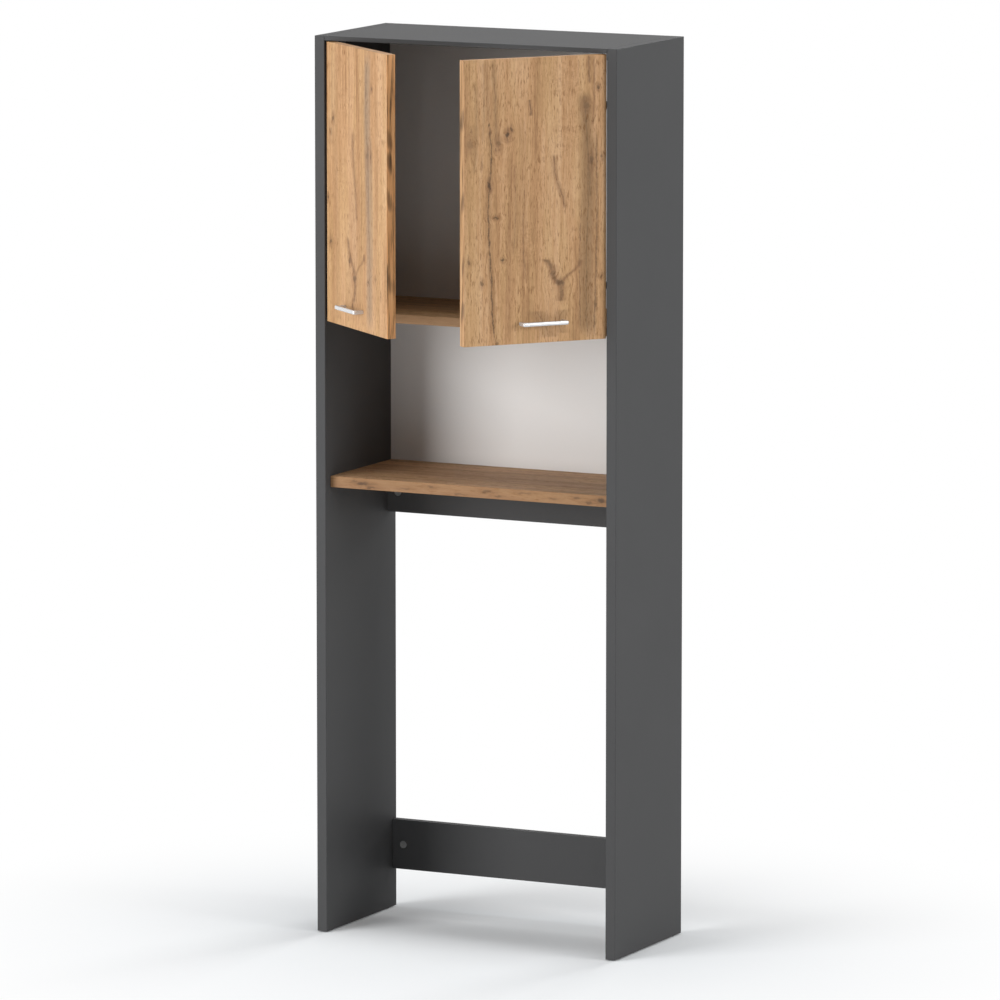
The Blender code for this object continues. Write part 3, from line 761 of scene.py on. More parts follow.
def add_piece(name: str, mesh: bpy.types.Mesh, material: bpy.types.Material, body: str,
              stands_for: Sequence[str] = ()) -> None:
    """Put a finished mesh into the scene, riding on a body.

    Args:
        name: the piece's name.
        mesh: its mesh, in the cabinet's own coordinates.
        material: its finish.
        body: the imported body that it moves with.
        stands_for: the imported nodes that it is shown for.
    """
    mesh.name = name
    mesh.materials.clear()
    mesh.materials.append(material)
    piece = linked(name, mesh)
    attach(piece, body)
    if stands_for:
        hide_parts(*stands_for)
    LOG.info("built %s, %d faces, on %s", name, len(mesh.polygons), body)


def finished_mesh(builder: bmesh.types.BMesh, sharp: float = 35.0) -> bpy.types.Mesh:
    """A mesh with its doubles merged, its faces outwards and smooth shading.

    Args:
        builder: the shape, which is freed.
        sharp: the angle in degrees past which an edge stays sharp.

    Returns:
        The mesh.
    """
    bmesh.ops.remove_doubles(builder, verts=builder.verts, dist=1e-6)
    bmesh.ops.recalc_face_normals(builder, faces=builder.faces)
    mesh = bpy.data.meshes.new("piece")
    builder.to_mesh(mesh)
    builder.free()
    mesh.shade_smooth()
    mesh.set_sharp_from_angle(angle=math.radians(sharp))
    return mesh


def lathe(profile: Sequence[Point], steps: int) -> bpy.types.Mesh:
    """A solid turned about Z.

    Args:
        profile: (radius, height) points, the first and the last on the axis.
        steps: how many faces go round.

    Returns:
        The solid's mesh.
    """
    builder = bmesh.new()
    rings: list[list[bmesh.types.BMVert]] = []
    for radius, height in profile:
        turns = [math.tau * step / steps for step in range(steps if radius else 1)]
        rings.append([builder.verts.new((radius * math.cos(turn), radius * math.sin(turn), height))
                      for turn in turns])
    for lower, upper in zip(rings, rings[1:]):
        for step in range(steps):
            corners = [lower[step % len(lower)], lower[(step + 1) % len(lower)],
                       upper[(step + 1) % len(upper)], upper[step % len(upper)]]
            builder.faces.new(list(dict.fromkeys(corners)))
    return finished_mesh(builder)


def arc(centre: Point, radius: float, start: float, end: float, steps: int) -> list[Point]:
    """Points along an arc.

    Args:
        centre: the arc's centre.
        radius: its radius.
        start: the angle of its first point, in degrees.
        end: the angle of its last one.
        steps: how many straight pieces it has.

    Returns:
        The points, both ends among them.
    """
    turns = [math.radians(start + (end - start) * step / steps) for step in range(steps + 1)]
    return [(centre[0] + radius * math.cos(turn), centre[1] + radius * math.sin(turn))
            for turn in turns]


def cross_recessed(body: bpy.types.Mesh, size: tuple[float, float, float], level: float,
                   turn: float = 0.0, narrowing: Point = (0.45, 0.7)) -> bpy.types.Mesh:
    """A screw head of radius 1 with a cross recess cut into it.

    Args:
        body: the head's mesh.
        size: the length, width and depth of each wedge that cuts it.
        level: the height of the wedges' middles.
        turn: the cross's angle in degrees.
        narrowing: what the wedges' lower ends have of their length and width.

    Returns:
        The cut mesh.
    """
    cutters = []
    for angle in (turn, turn + 90):
        builder = bmesh.new()
        bmesh.ops.create_cube(builder, size=1)
        bmesh.ops.scale(builder, vec=size, verts=builder.verts)
        lower = [vert for vert in builder.verts if vert.co.z < 0]
        bmesh.ops.scale(builder, vec=(*narrowing, 1), verts=lower)
        bmesh.ops.translate(builder, vec=(0, 0, level), verts=builder.verts)
        spin = Matrix.Rotation(math.radians(angle), 3, "Z")
        bmesh.ops.rotate(builder, cent=(0, 0, 0), matrix=spin, verts=builder.verts)
        cutters.append(finished_mesh(builder))
    return cut(body, cutters)


def cut(body: bpy.types.Mesh, cutters: Sequence[bpy.types.Mesh]) -> bpy.types.Mesh:
    """Take shapes out of a mesh.

    Args:
        body: the mesh.
        cutters: the shapes.

    Returns:
        What is left of the mesh.
    """
    made = [linked("helper", mesh) for mesh in (body, *cutters)]
    for cutter in made[1:]:
        modifier = made[0].modifiers.new("cut", "BOOLEAN")
        modifier.operation = "DIFFERENCE"
        modifier.object = cutter
    result = baked(made[0])
    for item in made:
        bpy.data.objects.remove(item)
    result.shade_smooth()
    result.set_sharp_from_angle(angle=math.radians(35))
    return result


def baked(item: bpy.types.Object) -> bpy.types.Mesh:
    """The object's mesh with its modifiers applied."""
    graph = bpy.context.evaluated_depsgraph_get()
    return bpy.data.meshes.new_from_object(item.evaluated_get(graph))


class Head(Enum):
    """The kinds of fastener head, each by its (radius, height) profile in head radii."""

    PAN = ((0, -0.3), (0.97, -0.3), (1, 0.02), (0.97, 0.2), (0.83, 0.38), (0.6, 0.5), (0.3, 0.56),
           (0, 0.58))
    NAIL = ((0, -0.4), (0.98, -0.4), (1, 0.0), (0.9, 0.16), (0.55, 0.26), (0, 0.3))
    GRUB = ((0, -0.5), (0.96, -0.5), (0.96, 0.12), (0.86, 0.22), (0, 0.22))


@dataclass(frozen=True)
class Fasteners:
    """Repeats one fastener's head over points, by Geometry Nodes."""

    kind: Head
    radius: float
    seed: int
    nail_steps: int = 14
    screw_steps: int = 24
    recess: tuple[float, float, float] = (1.15, 0.208, 0.62)
    recess_level: float = 0.42

    def head(self) -> bpy.types.Mesh:
        """Make one head.

        Returns:
            A head of radius 1 that faces up from zero.
        """
        if self.kind is Head.NAIL:
            return lathe(self.kind.value, self.nail_steps)
        plain = lathe(self.kind.value, self.screw_steps)
        return cross_recessed(plain, self.recess, self.recess_level)

    def tree(self) -> bpy.types.NodeTree:
        """Make the node tree that puts a head on each point.

        Returns:
            The tree, in which each head faces its point's own way.
        """
        tree = bpy.data.node_groups.new(f"{self.kind.name.lower()}_heads", "GeometryNodeTree")
        for name, kind in (("Points", "Geometry"), ("Head", "Object"), ("Radius", "Float"),
                           ("Seed", "Int"), ("Finish", "Material")):
            tree.interface.new_socket(name, in_out="INPUT", socket_type=f"NodeSocket{kind}")
        tree.interface.new_socket("Heads", in_out="OUTPUT", socket_type="NodeSocketGeometry")
        given, result, facing, spin, align, source, placed, real, painted = (
            tree.nodes.new(kind) for kind in (
                "NodeGroupInput", "NodeGroupOutput", "GeometryNodeInputNamedAttribute",
                "FunctionNodeRandomValue", "FunctionNodeAlignRotationToVector",
                "GeometryNodeObjectInfo", "GeometryNodeInstanceOnPoints",
                "GeometryNodeRealizeInstances", "GeometryNodeSetMaterial"))
        facing.data_type = "FLOAT_VECTOR"
        facing.inputs["Name"].default_value = "facing"
        spin.data_type = "FLOAT_VECTOR"
        spin.inputs["Max"].default_value = (0, 0, math.tau)
        align.axis = "Z"
        for start, output, end, entry in (
            (given, "Seed", spin, "Seed"), (spin, "Value", align, "Rotation"),
            (facing, "Attribute", align, "Vector"), (given, "Head", source, "Object"),
            (given, "Points", placed, "Points"), (source, "Geometry", placed, "Instance"),
            (align, "Rotation", placed, "Rotation"), (given, "Radius", placed, "Scale"),
            (placed, "Instances", real, "Geometry"), (real, "Geometry", painted, "Geometry"),
            (given, "Finish", painted, "Material"), (painted, "Geometry", result, "Heads"),
        ):
            tree.links.new(start.outputs[output], end.inputs[entry])
        return tree

    def build(self, name: str, body: str, spots: Sequence[tuple[Vector, Vector]],
              material: bpy.types.Material) -> None:
        """Make one mesh of all the heads that ride on a body.

        Args:
            name: the piece's name.
            body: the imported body.
            spots: the places and the ways that the heads face.
            material: the heads' finish.
        """
        points = bpy.data.meshes.new("points")
        points.from_pydata([place for place, _ in spots], [], [])
        attribute = points.attributes.new("facing", "FLOAT_VECTOR", "POINT")
        for item, (_, way) in zip(attribute.data, spots):
            item.vector = way
        head, host = linked("head", self.head()), linked("host", points)
        tree = self.tree()
        modifier = host.modifiers.new("heads", "NODES")
        modifier.node_group = tree
        sockets = {item.name: item.identifier for item in tree.interface.items_tree
                   if item.in_out == "INPUT"}
        for key, value in (("Head", head), ("Radius", self.radius), ("Seed", self.seed),
                           ("Finish", material)):
            modifier[sockets[key]] = value
        mesh = baked(host)
        for item in (host, head):
            bpy.data.objects.remove(item)
        add_piece(name, mesh, material, body)


@dataclass
class Palette:
    """The finishes that the sub-assemblies share."""

    front: float
    back_middle: float
    board_recess: float = 20 * MM
    graphite: bpy.types.Material = field(init=False)
    worktop: bpy.types.Material = field(init=False)
    shelf: bpy.types.Material = field(init=False)
    backing: bpy.types.Material = field(init=False)
    chrome: bpy.types.Material = field(init=False)
    steel: bpy.types.Material = field(init=False)
    plastic: bpy.types.Material = field(init=False)

    def __post_init__(self) -> None:
        """Make each finish once."""
        self.graphite = GraphiteLaminate().build(self.front)
        edge = self.front + self.board_recess
        self.worktop = worktop_oak(edge).build()
        # Painted light: the shelf's edging is paler than the other boards' edging, to make up for
        # the shade that falls on it.
        self.shelf = OakDecor("oak_shelf", drift=5.3, edge_plane=edge,
                              edging=(0.38, 0.215, 0.108)).build()
        self.backing = BackBoard().build(self.back_middle)
        self.chrome = BrightMetal("satin_chrome", (0.60, 0.60, 0.61), (0.74, 0.74, 0.75), 0.24,
                                  (60, 60, 900), metal=0.6).build()
        self.steel = BrightMetal("zinc_plate", (0.50, 0.50, 0.49), (0.68, 0.68, 0.67), 0.36,
                                 (400, 400, 400)).build()
        self.plastic = MouldedPlastic().build()


@dataclass(frozen=True)
class Carcass:
    """The boards that stand still, with their fittings."""

    palette: Palette
    nail_spacing: float = 92 * MM
    nail_count: int = 7
    nail_radius: float = 2.6 * MM
    nail_seed: int = 3
    screw_radius: float = 3.6 * MM
    screw_seed: int = 5
    block_screw_offset: float = 7 * MM
    bracket_sheet: float = 2 * MM
    bracket_screw_share: float = 0.42
    bracket_screw_spread: float = 12 * MM

    def build(self) -> None:
        """Dress the boards and add the fasteners."""
        palette = self.palette
        dress(["top_panel", "upper_rear_rail", "lower_rear_rail", "side_panel_left",
               "side_panel_right"], palette.graphite)
        dress(["countertop"], palette.worktop)
        dress(["cupboard_floor"], palette.shelf)
        dress(["back_panel"], palette.backing)
        for starts, finish in ((("foot_glide", "corner_block"), palette.plastic),
                               (("cam_lock", "wall_bracket"), palette.steel)):
            dress([name for name in frame["nodes"] if name.startswith(starts)], finish)
        self._add_nails()
        self._add_screws()

    def _add_nails(self) -> None:
        """Nails through the back panel into the rear edges of both oak boards."""
        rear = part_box("back_panel")[1].y
        spots = []
        for board in ("countertop", "cupboard_floor"):
            low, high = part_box(board)
            for step in range(self.nail_count):
                x = (step - (self.nail_count - 1) / 2) * self.nail_spacing
                spots.append((Vector((x, rear, (low.z + high.z) / 2)), Vector((0, 1, 0))))
        Fasteners(Head.NAIL, self.nail_radius, self.nail_seed).build(
            "back_panel_nails", "carcass", spots, self.palette.steel)

    def _add_screws(self) -> None:
        """Screws of the corner blocks and of the wall brackets."""
        spots, offset = [], self.block_screw_offset
        for side in Side:
            inwards = Vector((-side.value, 0, 0))
            for row in ("front", "rear"):
                low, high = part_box(f"corner_block_{row}_{side.word}")
                middle = (low + high) / 2
                face = low.x if side is Side.RIGHT else high.x
                spots.append((Vector((face, middle.y - offset, middle.z)), inwards))
                spots.append((Vector((middle.x, middle.y + offset, low.z)), Vector((0, 0, -1))))
            low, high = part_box(f"wall_bracket_{side.word}")
            face = side.value * (max(abs(low.x), abs(high.x)) - self.bracket_sheet)
            depth = low.y + self.bracket_screw_share * (high.y - low.y)
            for rise in (-1, 1):
                level = (low.z + high.z) / 2 + rise * self.bracket_screw_spread
                spots.append((Vector((face, depth, level)), inwards))
        Fasteners(Head.PAN, self.screw_radius, self.screw_seed).build(
            "carcass_screws", "carcass", spots, self.palette.steel)


@dataclass(frozen=True)
class Door:
    """A door with its handle and its hinge fittings, drawn inwards from its hinge edge."""

    side: Side
    angle: float
    palette: Palette
    width: float = 301 * MM
    thickness: float = 18 * MM
    axis_from_edge: float = 6.5 * MM
    axis_from_front: float = 0.5 * MM
    handle_from_edge: float = 137 * MM
    handle_level: float = 1251.5 * MM
    handle_length: float = 96 * MM
    handle_projection: float = 22 * MM
    bar_depth: float = 8 * MM
    bar_height: float = 8 * MM
    corner_radius: float = 3 * MM
    inner_radius: float = 1.2 * MM
    bar_rounding: float = 2.4 * MM
    corner_steps: int = 8
    inner_steps: int = 4
    foot_gap: float = 0.3 * MM
    screw_reach: float = 8 * MM
    screw_shaft: float = 2 * MM
    screw_head: float = 4 * MM
    screw_steps: int = 28
    recess: tuple[float, float, float] = (1.1, 0.2, 0.6)
    recess_level: float = 0.4
    recess_turn: float = 20.0
    cup_centre: float = 22.5 * MM
    cup_screw_spread: float = 21.5 * MM
    cup_screw_radius: float = 3.4 * MM
    cup_screw_seed: int = 11
    cup_flange: float = 1.2 * MM
    hinge_levels: tuple[float, float] = (1313 * MM, 1659 * MM)

    @property
    def body(self) -> str:
        """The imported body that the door's pieces ride on."""
        return f"{self.side.word}_door"

    @property
    def placing(self) -> Matrix:
        """Where the door stands.

        Returns:
            The matrix from the door's own coordinates to the cabinet's.
        """
        name = f"{self.side.word}_door_hinge"
        x, y, _ = next(joint["pos_m"] for joint in frame["joints"] if joint["name"] == name)
        turn = Matrix.Rotation(self.side.value * self.angle, 4, "Z")
        corner = Vector((self.side.value * self.axis_from_edge, -self.axis_from_front, 0))
        return Matrix.Translation((x, y, 0)) @ turn @ Matrix.Translation(corner)

    def seat(self, across: float, depth: float, level: float) -> Vector:
        """A place in the door's own coordinates, from its distance inwards."""
        return Vector((-self.side.value * across, depth, level))

    def build(self, oak: OakDecor) -> None:
        """Dress the door and build its finer pieces.

        Args:
            oak: the board's decor, without its place.
        """
        placed = replace(oak, side=self.side, board_width=self.width,
                         centre=tuple(self.placing.translation),
                         turn=self.side.value * self.angle)
        dress([f"door_{self.side.word}"], placed.build())
        dress([f"door_bumper_{self.side.word}"], self.palette.plastic)
        self._add_handle()
        self._add_handle_screws()
        self._add_hinge_screws()

    def _add_handle(self) -> None:
        """The bow handle, with all its edges rounded."""
        half, bar, reach = self.handle_length / 2, self.bar_depth, self.handle_projection
        outer, inner, foot = self.corner_radius, self.inner_radius, -self.foot_gap
        outside, inside = outer - reach, bar - reach + inner
        outline = [(-half, foot),
                   *arc((outer - half, outside), outer, 180, 270, self.corner_steps),
                   *arc((half - outer, outside), outer, -90, 0, self.corner_steps),
                   (half, foot), (half - bar, foot),
                   *arc((half - bar - inner, inside), inner, 0, -90, self.inner_steps),
                   *arc((bar - half + inner, inside), inner, 270, 180, self.inner_steps),
                   (bar - half, foot)]
        builder = bmesh.new()
        base = builder.faces.new([builder.verts.new((x, y, -self.bar_height / 2))
                                  for x, y in outline])
        wall = bmesh.ops.extrude_face_region(builder, geom=[base])
        top = [item for item in wall["geom"] if isinstance(item, bmesh.types.BMVert)]
        bmesh.ops.translate(builder, vec=(0, 0, self.bar_height), verts=top)
        rims = [edge for edge in builder.edges
                if abs(edge.verts[0].co.z - edge.verts[1].co.z) < 1e-7]
        bmesh.ops.bevel(builder, geom=rims, offset=self.bar_rounding, segments=4, profile=0.5,
                        affect="EDGES")
        mesh = finished_mesh(builder, 40)
        middle = self.seat(self.handle_from_edge, 0, self.handle_level)
        mesh.transform(self.placing @ Matrix.Translation(middle))
        word = self.side.word
        add_piece(f"bow_handle_{word}", mesh, self.palette.chrome, self.body, [f"handle_{word}"])

    def _add_handle_screws(self) -> None:
        """The two handle screws, their shafts turned and their heads with a cross recess."""
        spread = (self.handle_length - self.bar_depth) / 2
        shaft = self.screw_shaft / self.screw_head
        tip = -(self.thickness + self.foot_gap + self.screw_reach) / self.screw_head
        profile = ((0, tip), (shaft * 0.8, tip), (shaft, tip + 0.1), (shaft, 0.0), (1, 0.0),
                   (1, 0.16), (0.88, 0.36), (0.62, 0.5), (0.3, 0.55), (0, 0.55))
        upright = Matrix.Rotation(-math.pi / 2, 4, "X") @ Matrix.Scale(self.screw_head, 4)
        for row, aside in (("inner", spread), ("outer", -spread)):
            mesh = cross_recessed(lathe(profile, self.screw_steps), self.recess,
                                  self.recess_level, self.recess_turn)
            seat = self.seat(self.handle_from_edge + aside, self.thickness + self.foot_gap,
                             self.handle_level)
            mesh.transform(self.placing @ Matrix.Translation(seat) @ upright)
            end = f"{row}_{self.side.word}"
            add_piece(f"machine_screw_{end}", mesh, self.palette.steel, self.body,
                      [f"handle_screw_{end}"])

    def _add_hinge_screws(self) -> None:
        """The screws in the wings of the hinge cups."""
        depth = self.thickness + self.cup_flange
        out = self.placing.to_3x3() @ Vector((0, 1, 0))
        spots = [(self.placing @ self.seat(self.cup_centre, depth,
                                           level + rise * self.cup_screw_spread), out)
                 for level in self.hinge_levels for rise in (-1, 1)]
        Fasteners(Head.PAN, self.cup_screw_radius, self.cup_screw_seed).build(
            f"cup_screws_{self.side.word}", self.body, spots, self.palette.steel)


@dataclass(frozen=True)
class Hinges:
    """The finish of one door's two hinges, and the screws of their still halves."""

    side: Side
    palette: Palette
    plate_sheet: float = 2 * MM
    plate_screw_spread: float = 20.5 * MM
    plate_screw_radius: float = 3.6 * MM
    plate_screw_seed: int = 17
    arm_stack: float = 21.2 * MM
    adjuster_shares: tuple[float, float] = (0.55, 0.9)
    adjuster_radius: float = 2.6 * MM
    adjuster_seed: int = 23

    def build(self) -> None:
        """Dress the hinges and add their screws."""
        word, steel = self.side.word, self.palette.steel
        for kind in ("cup", "link", "arm", "plate"):
            dress([f"hinge_{kind}_{row}_{word}" for row in ROWS], steel)
        inwards = Vector((-self.side.value, 0, 0))
        screws, adjusters = [], []
        for row in ROWS:
            low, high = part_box(f"hinge_plate_{row}_{word}")
            middle = (low + high) / 2
            edge = max(abs(low.x), abs(high.x))
            face = self.side.value * (edge - self.plate_sheet)
            for rise in (-1, 1):
                level = middle.z + rise * self.plate_screw_spread
                screws.append((Vector((face, middle.y, level)), inwards))
            low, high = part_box(f"hinge_arm_{row}_{word}")
            face = self.side.value * (edge - self.arm_stack)
            for share in self.adjuster_shares:
                depth = low.y + share * (high.y - low.y)
                adjusters.append((Vector((face, depth, (low.z + high.z) / 2)), inwards))
        Fasteners(Head.PAN, self.plate_screw_radius, self.plate_screw_seed).build(
            f"plate_screws_{word}", "carcass", screws, steel)
        Fasteners(Head.GRUB, self.adjuster_radius, self.adjuster_seed).build(
            f"adjusters_{word}", "carcass", adjusters, steel)


RIGHT_OAK = OakDecor(
    "oak_door_right", drift=2.3, end_knots=(1655, 1498, 1372, 1290),
    knots=(
        Knot(209, 1614, 4.5, 6), Knot(228, 1597, 5, 8, 0.45, 1.4), Knot(247, 1519, 3.5, 6),
        Knot(234, 1457, 6, 2.5, 0.8, 0.6), Knot(219, 1375, 4.5, 3, 0.9, 0.6),
        Knot(263, 1332, 3, 5, 0.6), Knot(291, 1375, 2.5, 5, 0.6), Knot(288, 1600, 7, 10, 0.35, 1.5),
        Knot(43, 1663, 7, 7, 0.45, 1.3), Knot(31, 1558, 5, 9, 0.6), Knot(10, 1565, 2.5, 4, 0.6),
        Knot(17, 1697, 3, 4, 0.8), Knot(10, 1335, 4, 3, 0.6), Knot(21, 1279, 2, 6, 0.6),
        Knot(97, 1326, 9, 6, 0.75, 0.5), Knot(92, 1306, 3, 9, 0.45, 0.4),
        Knot(249, 1636, 2.5, 4, 0.8, 0.5), Knot(241, 1258, 2.5, 4, 0.7, 0.5),
        Knot(232, 1217, 4, 3, 0.6, 0.6), Knot(263, 1561, 2, 7, 0.4, 1.0),
        Knot(201, 1624, 2, 4, 0.7, 1.2), Knot(233, 1586, 2, 4, 0.5), Knot(247, 1620, 2, 5, 0.7),
        Knot(215, 1604, 9, 14, 0.0), Knot(285, 1625, 3, 4, 0.35), Knot(110, 1345, 5, 6, 0.45, 1.2),
    ),
    streaks=(
        Streak(((249, 1640), (245, 1615), (243, 1567), (247, 1519), (249, 1486), (249, 1442),
                (245, 1368), (243, 1331), (240, 1258), (232, 1217)),
               3.4, 1.0, 11, 0.42, Tint.BROWN),
        Streak(((255, 1759), (252, 1700), (249, 1640)), 1.4, 0.25, 10, 0.40, Tint.BROWN),
        Streak(((110, 1573), (108, 1535), (98, 1505), (91, 1485), (88, 1466)), 3.2, 0.55, 9, 0.6),
        Streak(((133, 1374), (118, 1360), (113, 1342), (100, 1322)), 9.0, 0.62, 13, 0.75),
        Streak(((54, 1369), (62, 1354), (82, 1340), (96, 1326)), 5.0, 0.30, 9, 0.70),
        Streak(((98, 1330), (95, 1312), (97, 1290)), 7.0, 0.6, 14, 0.60),
        Streak(((162, 1680), (160, 1648)), 3.0, 0.75, 7, 0.6),
        Streak(((27, 1759), (26, 1690), (29, 1620)), 2.0, 0.5, 5, 0.4),
        Streak(((47, 1690), (44, 1640), (38, 1560), (34, 1480)), 4.0, 0.5, 20, 0.97, Tint.BROWN),
        Streak(((40, 1620), (39, 1500), (42, 1300), (38, 1215)), 3.0, 0.45, 25, 0.95, Tint.BROWN),
        Streak(((22, 1620), (20, 1450), (22, 1330), (26, 1215)), 3.0, 0.6, 6, 0.6, Tint.BROWN),
        Streak(((52, 1480), (56, 1380), (54, 1230)), 2.4, 0.5, 6, 0.4, Tint.BROWN),
        Streak(((38, 1759), (36, 1705)), 5.0, 0.5, 8, 0.6),
        Streak(((207, 1480), (206, 1350), (208, 1215)), 2.0, 0.0, 9, 0.30),
        Streak(((240, 1759), (236, 1700), (232, 1590)), 3.0, 0.3, 9, 0.55, Tint.BROWN),
        Streak(((276, 1720), (274, 1650), (280, 1540)), 2.0, 0.3, 8, 0.35, Tint.BROWN),
        Streak(((180, 1640), (176, 1560), (182, 1470)), 2.0, 0.0, 12, 0.22),
        Streak(((262, 1759), (258, 1690), (262, 1600)), 2.0, 0.3, 7, 0.30, Tint.BROWN),
        Streak(((196, 1560), (192, 1480), (198, 1380)), 2.4, 0.3, 14, 0.30),
        Streak(((172, 1520), (176, 1440), (170, 1330)), 2.4, 0.4, 10, 0.30),
        # Painted shade: these two wide brown bands darken the door round the handle, where the
        # handle's shade falls.
        Streak(((150, 1275), (132, 1250), (120, 1222)), 3.0, 0.4, 30, 0.55, Tint.BROWN),
        Streak(((88, 1275), (100, 1250), (92, 1228)), 3.0, 0.3, 22, 0.50, Tint.BROWN),
    ),
    dapples=(Dapple(80, 1615, 40, 50), Dapple(85, 1715, 50, 45), Dapple(170, 1400, 30, 60)),
)

LEFT_OAK = OakDecor(
    # Painted shade: the left door's oak is a little darker than the right door's, to take down the
    # light that falls on it.
    "oak_door_left", drift=8.1, middle=(0.500, 0.278, 0.130), pale=(0.642, 0.407, 0.232),
    # Painted light: the left door's free end is much paler than the right door's, to make up for
    # the shade that it stands in.
    end_middle=(0.70, 0.340, 0.135), end_pale=(0.80, 0.450, 0.205),
    end_knots=(1605, 1560, 1490, 1330),
    knots=(
        Knot(33, 1613, 4.5, 6, 0.8), Knot(22, 1585, 6, 9, 0.35, 1.5), Knot(7, 1457, 4, 4, 0.8),
        Knot(20, 1372, 6, 5, 0.75), Knot(225, 1687, 4, 4, 0.7), Knot(204, 1555, 6, 8, 0.45, 1.2),
        Knot(222, 1556, 3, 5, 0.6), Knot(116, 1345, 5, 7, 0.7, 0.8),
        Knot(140, 1312, 9, 7, 0.7, 0.6), Knot(129, 1258, 4, 6, 0.6, 0.8),
        Knot(189, 1355, 3, 4, 0.5), Knot(208, 1312, 4, 3, 0.6), Knot(243, 1320, 6, 4, 0.3),
        Knot(270, 1290, 3, 4, 0.4),
    ),
    streaks=(
        Streak(((212, 1759), (203, 1663), (206, 1560), (211, 1441), (214, 1330), (214, 1215)),
               4.0, 0.45, 23, 0.85, Tint.GREY),
        Streak(((201, 1735), (197, 1650), (203, 1570)), 5.0, 0.5, 12, 0.65, Tint.GREY),
        Streak(((221, 1600), (226, 1480), (228, 1330)), 2.4, 0.4, 8, 0.5, Tint.GREY),
        Streak(((134, 1600), (132, 1560), (138, 1520), (147, 1468), (150, 1420)),
               4.5, 0.45, 15, 0.65),
        Streak(((104, 1392), (118, 1352), (136, 1326), (142, 1300), (133, 1262)),
               9.0, 0.60, 18, 0.65),
        Streak(((189, 1365), (176, 1345), (160, 1335), (142, 1312)), 6.0, 0.35, 11, 0.60),
        Streak(((30, 1759), (28, 1640), (33, 1613)), 2.0, 0.25, 10, 0.30),
        Streak(((50, 1759), (44, 1560), (52, 1330), (46, 1215)), 2.0, 0.0, 20, 0.34),
        Streak(((246, 1700), (250, 1560), (244, 1400), (248, 1230)),
               2.0, 0.0, 14, 0.22, Tint.BROWN),
        Streak(((110, 1759), (116, 1660), (112, 1560)), 2.0, 0.0, 9, 0.22),
        Streak(((231, 1330), (212, 1316), (206, 1310)), 2.6, 0.6),
        # Painted shade: a wide soft band that darkens the lower middle of the door.
        Streak(((150, 1500), (140, 1380), (135, 1225)), 2.0, 0.0, 60, 0.30),
    ),
    dapples=(Dapple(70, 1500, 30, 60), Dapple(90, 1660, 30, 50)),
)

WORKTOP_LEVEL = 895
EDGE_KNOTS = (
    Knot(1, -232, 4, 13, 0.9, 1.3), Knot(-5, -214, 3, 10, 0.7, 1.3), Knot(5, -250, 2, 8, 0.5, 1.3),
    Knot(-3, -140, 2, 12, 0.4, 1.3), Knot(4, -85, 2.5, 9, 0.5, 1.3), Knot(-6, -20, 2, 14, 0.4, 1.3),
    Knot(2, 38, 3, 11, 0.6, 1.3), Knot(-5, 62, 2, 9, 0.5, 1.3), Knot(5, 120, 2, 14, 0.4, 1.3),
    Knot(-2, 180, 2, 10, 0.4, 1.3), Knot(3, 232, 2.5, 8, 0.55, 1.3), Knot(-4, 258, 3, 9, 0.6, 1.3),
    Knot(1, 283, 5, 10, 0.95, 1.3),
)


def worktop_oak(edge: float) -> OakDecor:
    """The worktop's decor, with the knots of its front edge.

    Args:
        edge: the Y of the front edge.

    Returns:
        The decor.
    """
    across = edge / MM + WORKTOP_LEVEL
    knots = tuple(replace(knot, across=across + knot.across) for knot in EDGE_KNOTS)
    return OakDecor("oak_worktop", drift=1.7, middle=(0.48, 0.295, 0.167), knots=knots,
                    edge_plane=edge, edging=(0.228, 0.109, 0.040))


@dataclass(frozen=True)
class Lamp:
    """A soft square lamp: the way to it, its distance and what it adds to a white face."""

    name: str
    way: tuple[float, float, float]
    distance: float
    size: float
    level: float

    def build(self, aim: Vector) -> None:
        """Hang the lamp.

        Args:
            aim: the place that it is turned to.
        """
        data = bpy.data.lights.new(self.name, "AREA")
        data.shape = "SQUARE"
        data.size = self.size
        data.energy = self.level * math.pi ** 2 * self.distance ** 2
        lamp = linked(self.name, data)
        way = Vector(self.way).normalized()
        lamp.location = aim + way * self.distance
        lamp.rotation_euler = way.to_track_quat("Z", "Y").to_euler()


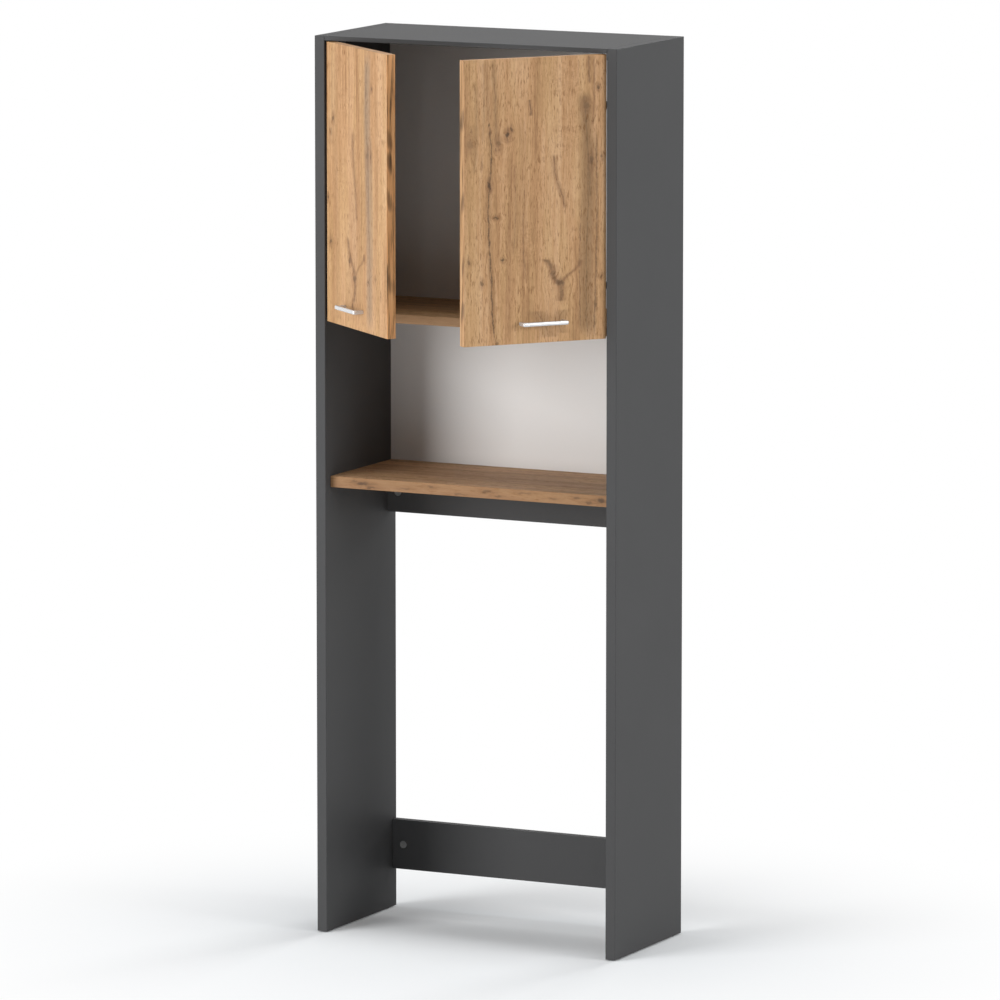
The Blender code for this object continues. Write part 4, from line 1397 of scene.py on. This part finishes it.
@dataclass(frozen=True)
class Studio:
    """The floor, the lamps, the surroundings and the camera."""

    front: float
    aim: tuple[float, float, float] = (0, 0, 1.0)
    floor_colour: Colour = (0.965, 0.985, 1.0)
    floor_size: float = 160.0
    fade_start: float = 0.22
    fade_end: float = 1.30
    ambient: float = 0.25
    ambient_colour: Colour = (0.97, 0.985, 1.0)
    camera_from_front: tuple[float, float, float] = (7.080, -14.084, 3.240)
    camera_turn: tuple[float, float] = (81.49, 26.44)
    lens: float = 296.35
    sensor: float = 36.0
    far_limit: float = 400.0
    lamps: tuple[Lamp, ...] = (
        Lamp("key_lamp", (-0.52, -0.84, 0.16), 6.0, 3.2, 0.79),
        Lamp("right_lamp", (0.95, -0.05, 0.20), 9.0, 4.0, 0.41),
        Lamp("top_lamp", (0.0, -0.10, 1.0), 6.0, 2.4, 0.30),
        Lamp("rear_lamp", (0.12, 0.90, 0.40), 6.0, 2.2, 0.38),
    )

    def build(self) -> None:
        """Set up the studio."""
        self._add_floor()
        self._add_surroundings()
        for lamp in self.lamps:
            lamp.build(Vector(self.aim))
        self._add_camera()
        bpy.context.scene.view_settings.view_transform = "Standard"

    def _add_floor(self) -> None:
        """A pale floor that fades to white away from the cabinet, where it is seen or mirrored."""
        half = self.floor_size / 2
        mesh = bpy.data.meshes.new("floor")
        corners = [(-half, -half, 0), (half, -half, 0), (half, half, 0), (-half, half, 0)]
        mesh.from_pydata(corners, [], [(0, 1, 2, 3)])
        floor = linked("studio_floor", mesh)
        graph = Graph.material("pale_floor")
        x, y, _ = graph.place()
        away = (x ** 2 + y ** 2).root()
        camera, mirrored = (graph.node("ShaderNodeLightPath", None, None, f"Is {ray} Ray")
                            for ray in ("Camera", "Glossy"))
        matt = graph.node("ShaderNodeBsdfDiffuse", None, {"Color": self.floor_colour})
        white = graph.node("ShaderNodeEmission", None, {"Color": (1.0, 1.0, 1.0)})
        share = away.rise(self.fade_start, self.fade_end) * camera.most(mirrored)
        graph.close(graph.node("ShaderNodeMixShader", None, {0: share, 1: matt, 2: white}))
        mesh.materials.append(graph.owner)

    def _add_surroundings(self) -> None:
        """Even light from all round, and plain white where the camera or a reflection sees it."""
        graph = Graph(bpy.data.worlds.new("surroundings"))
        camera, mirrored, through = (
            graph.node("ShaderNodeLightPath", None, None, f"Is {ray} Ray")
            for ray in ("Camera", "Glossy", "Transmission"))
        light = graph.node("ShaderNodeBackground", None,
                           {"Color": self.ambient_colour, "Strength": self.ambient})
        white = graph.node("ShaderNodeBackground", None, {"Color": (1.0, 1.0, 1.0)})
        share = camera.most(mirrored).most(through)
        mixed = graph.node("ShaderNodeMixShader", None, {0: share, 1: light, 2: white})
        graph.close(mixed, "ShaderNodeOutputWorld")
        bpy.context.scene.world = graph.owner

    def _add_camera(self) -> None:
        """The camera, a long lens from the front right and a little above."""
        data = bpy.data.cameras.new("camera")
        data.lens = self.lens
        data.sensor_width = self.sensor
        data.clip_end = self.far_limit
        camera = linked("camera", data)
        camera.location = Vector(self.camera_from_front) + Vector((0, self.front, 0))
        pitch, heading = (math.radians(angle) for angle in self.camera_turn)
        camera.rotation_euler = (pitch, 0, heading)
        bpy.context.scene.camera = camera


def main() -> None:
    """Dress the cabinet, build its finer pieces and set up the studio."""
    logging.basicConfig(level=logging.INFO, format="%(name)s: %(message)s")
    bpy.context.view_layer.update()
    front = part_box("side_panel_left")[0].y
    low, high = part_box("back_panel")
    palette = Palette(front, (low.y + high.y) / 2)
    Carcass(palette).build()
    for side, angle, oak in ((Side.LEFT, 40, LEFT_OAK), (Side.RIGHT, 52, RIGHT_OAK)):
        Door(side, math.radians(angle), palette).build(oak)
        Hinges(side, palette).build()
    Studio(front).build()


if __name__ == "__main__":
    main()
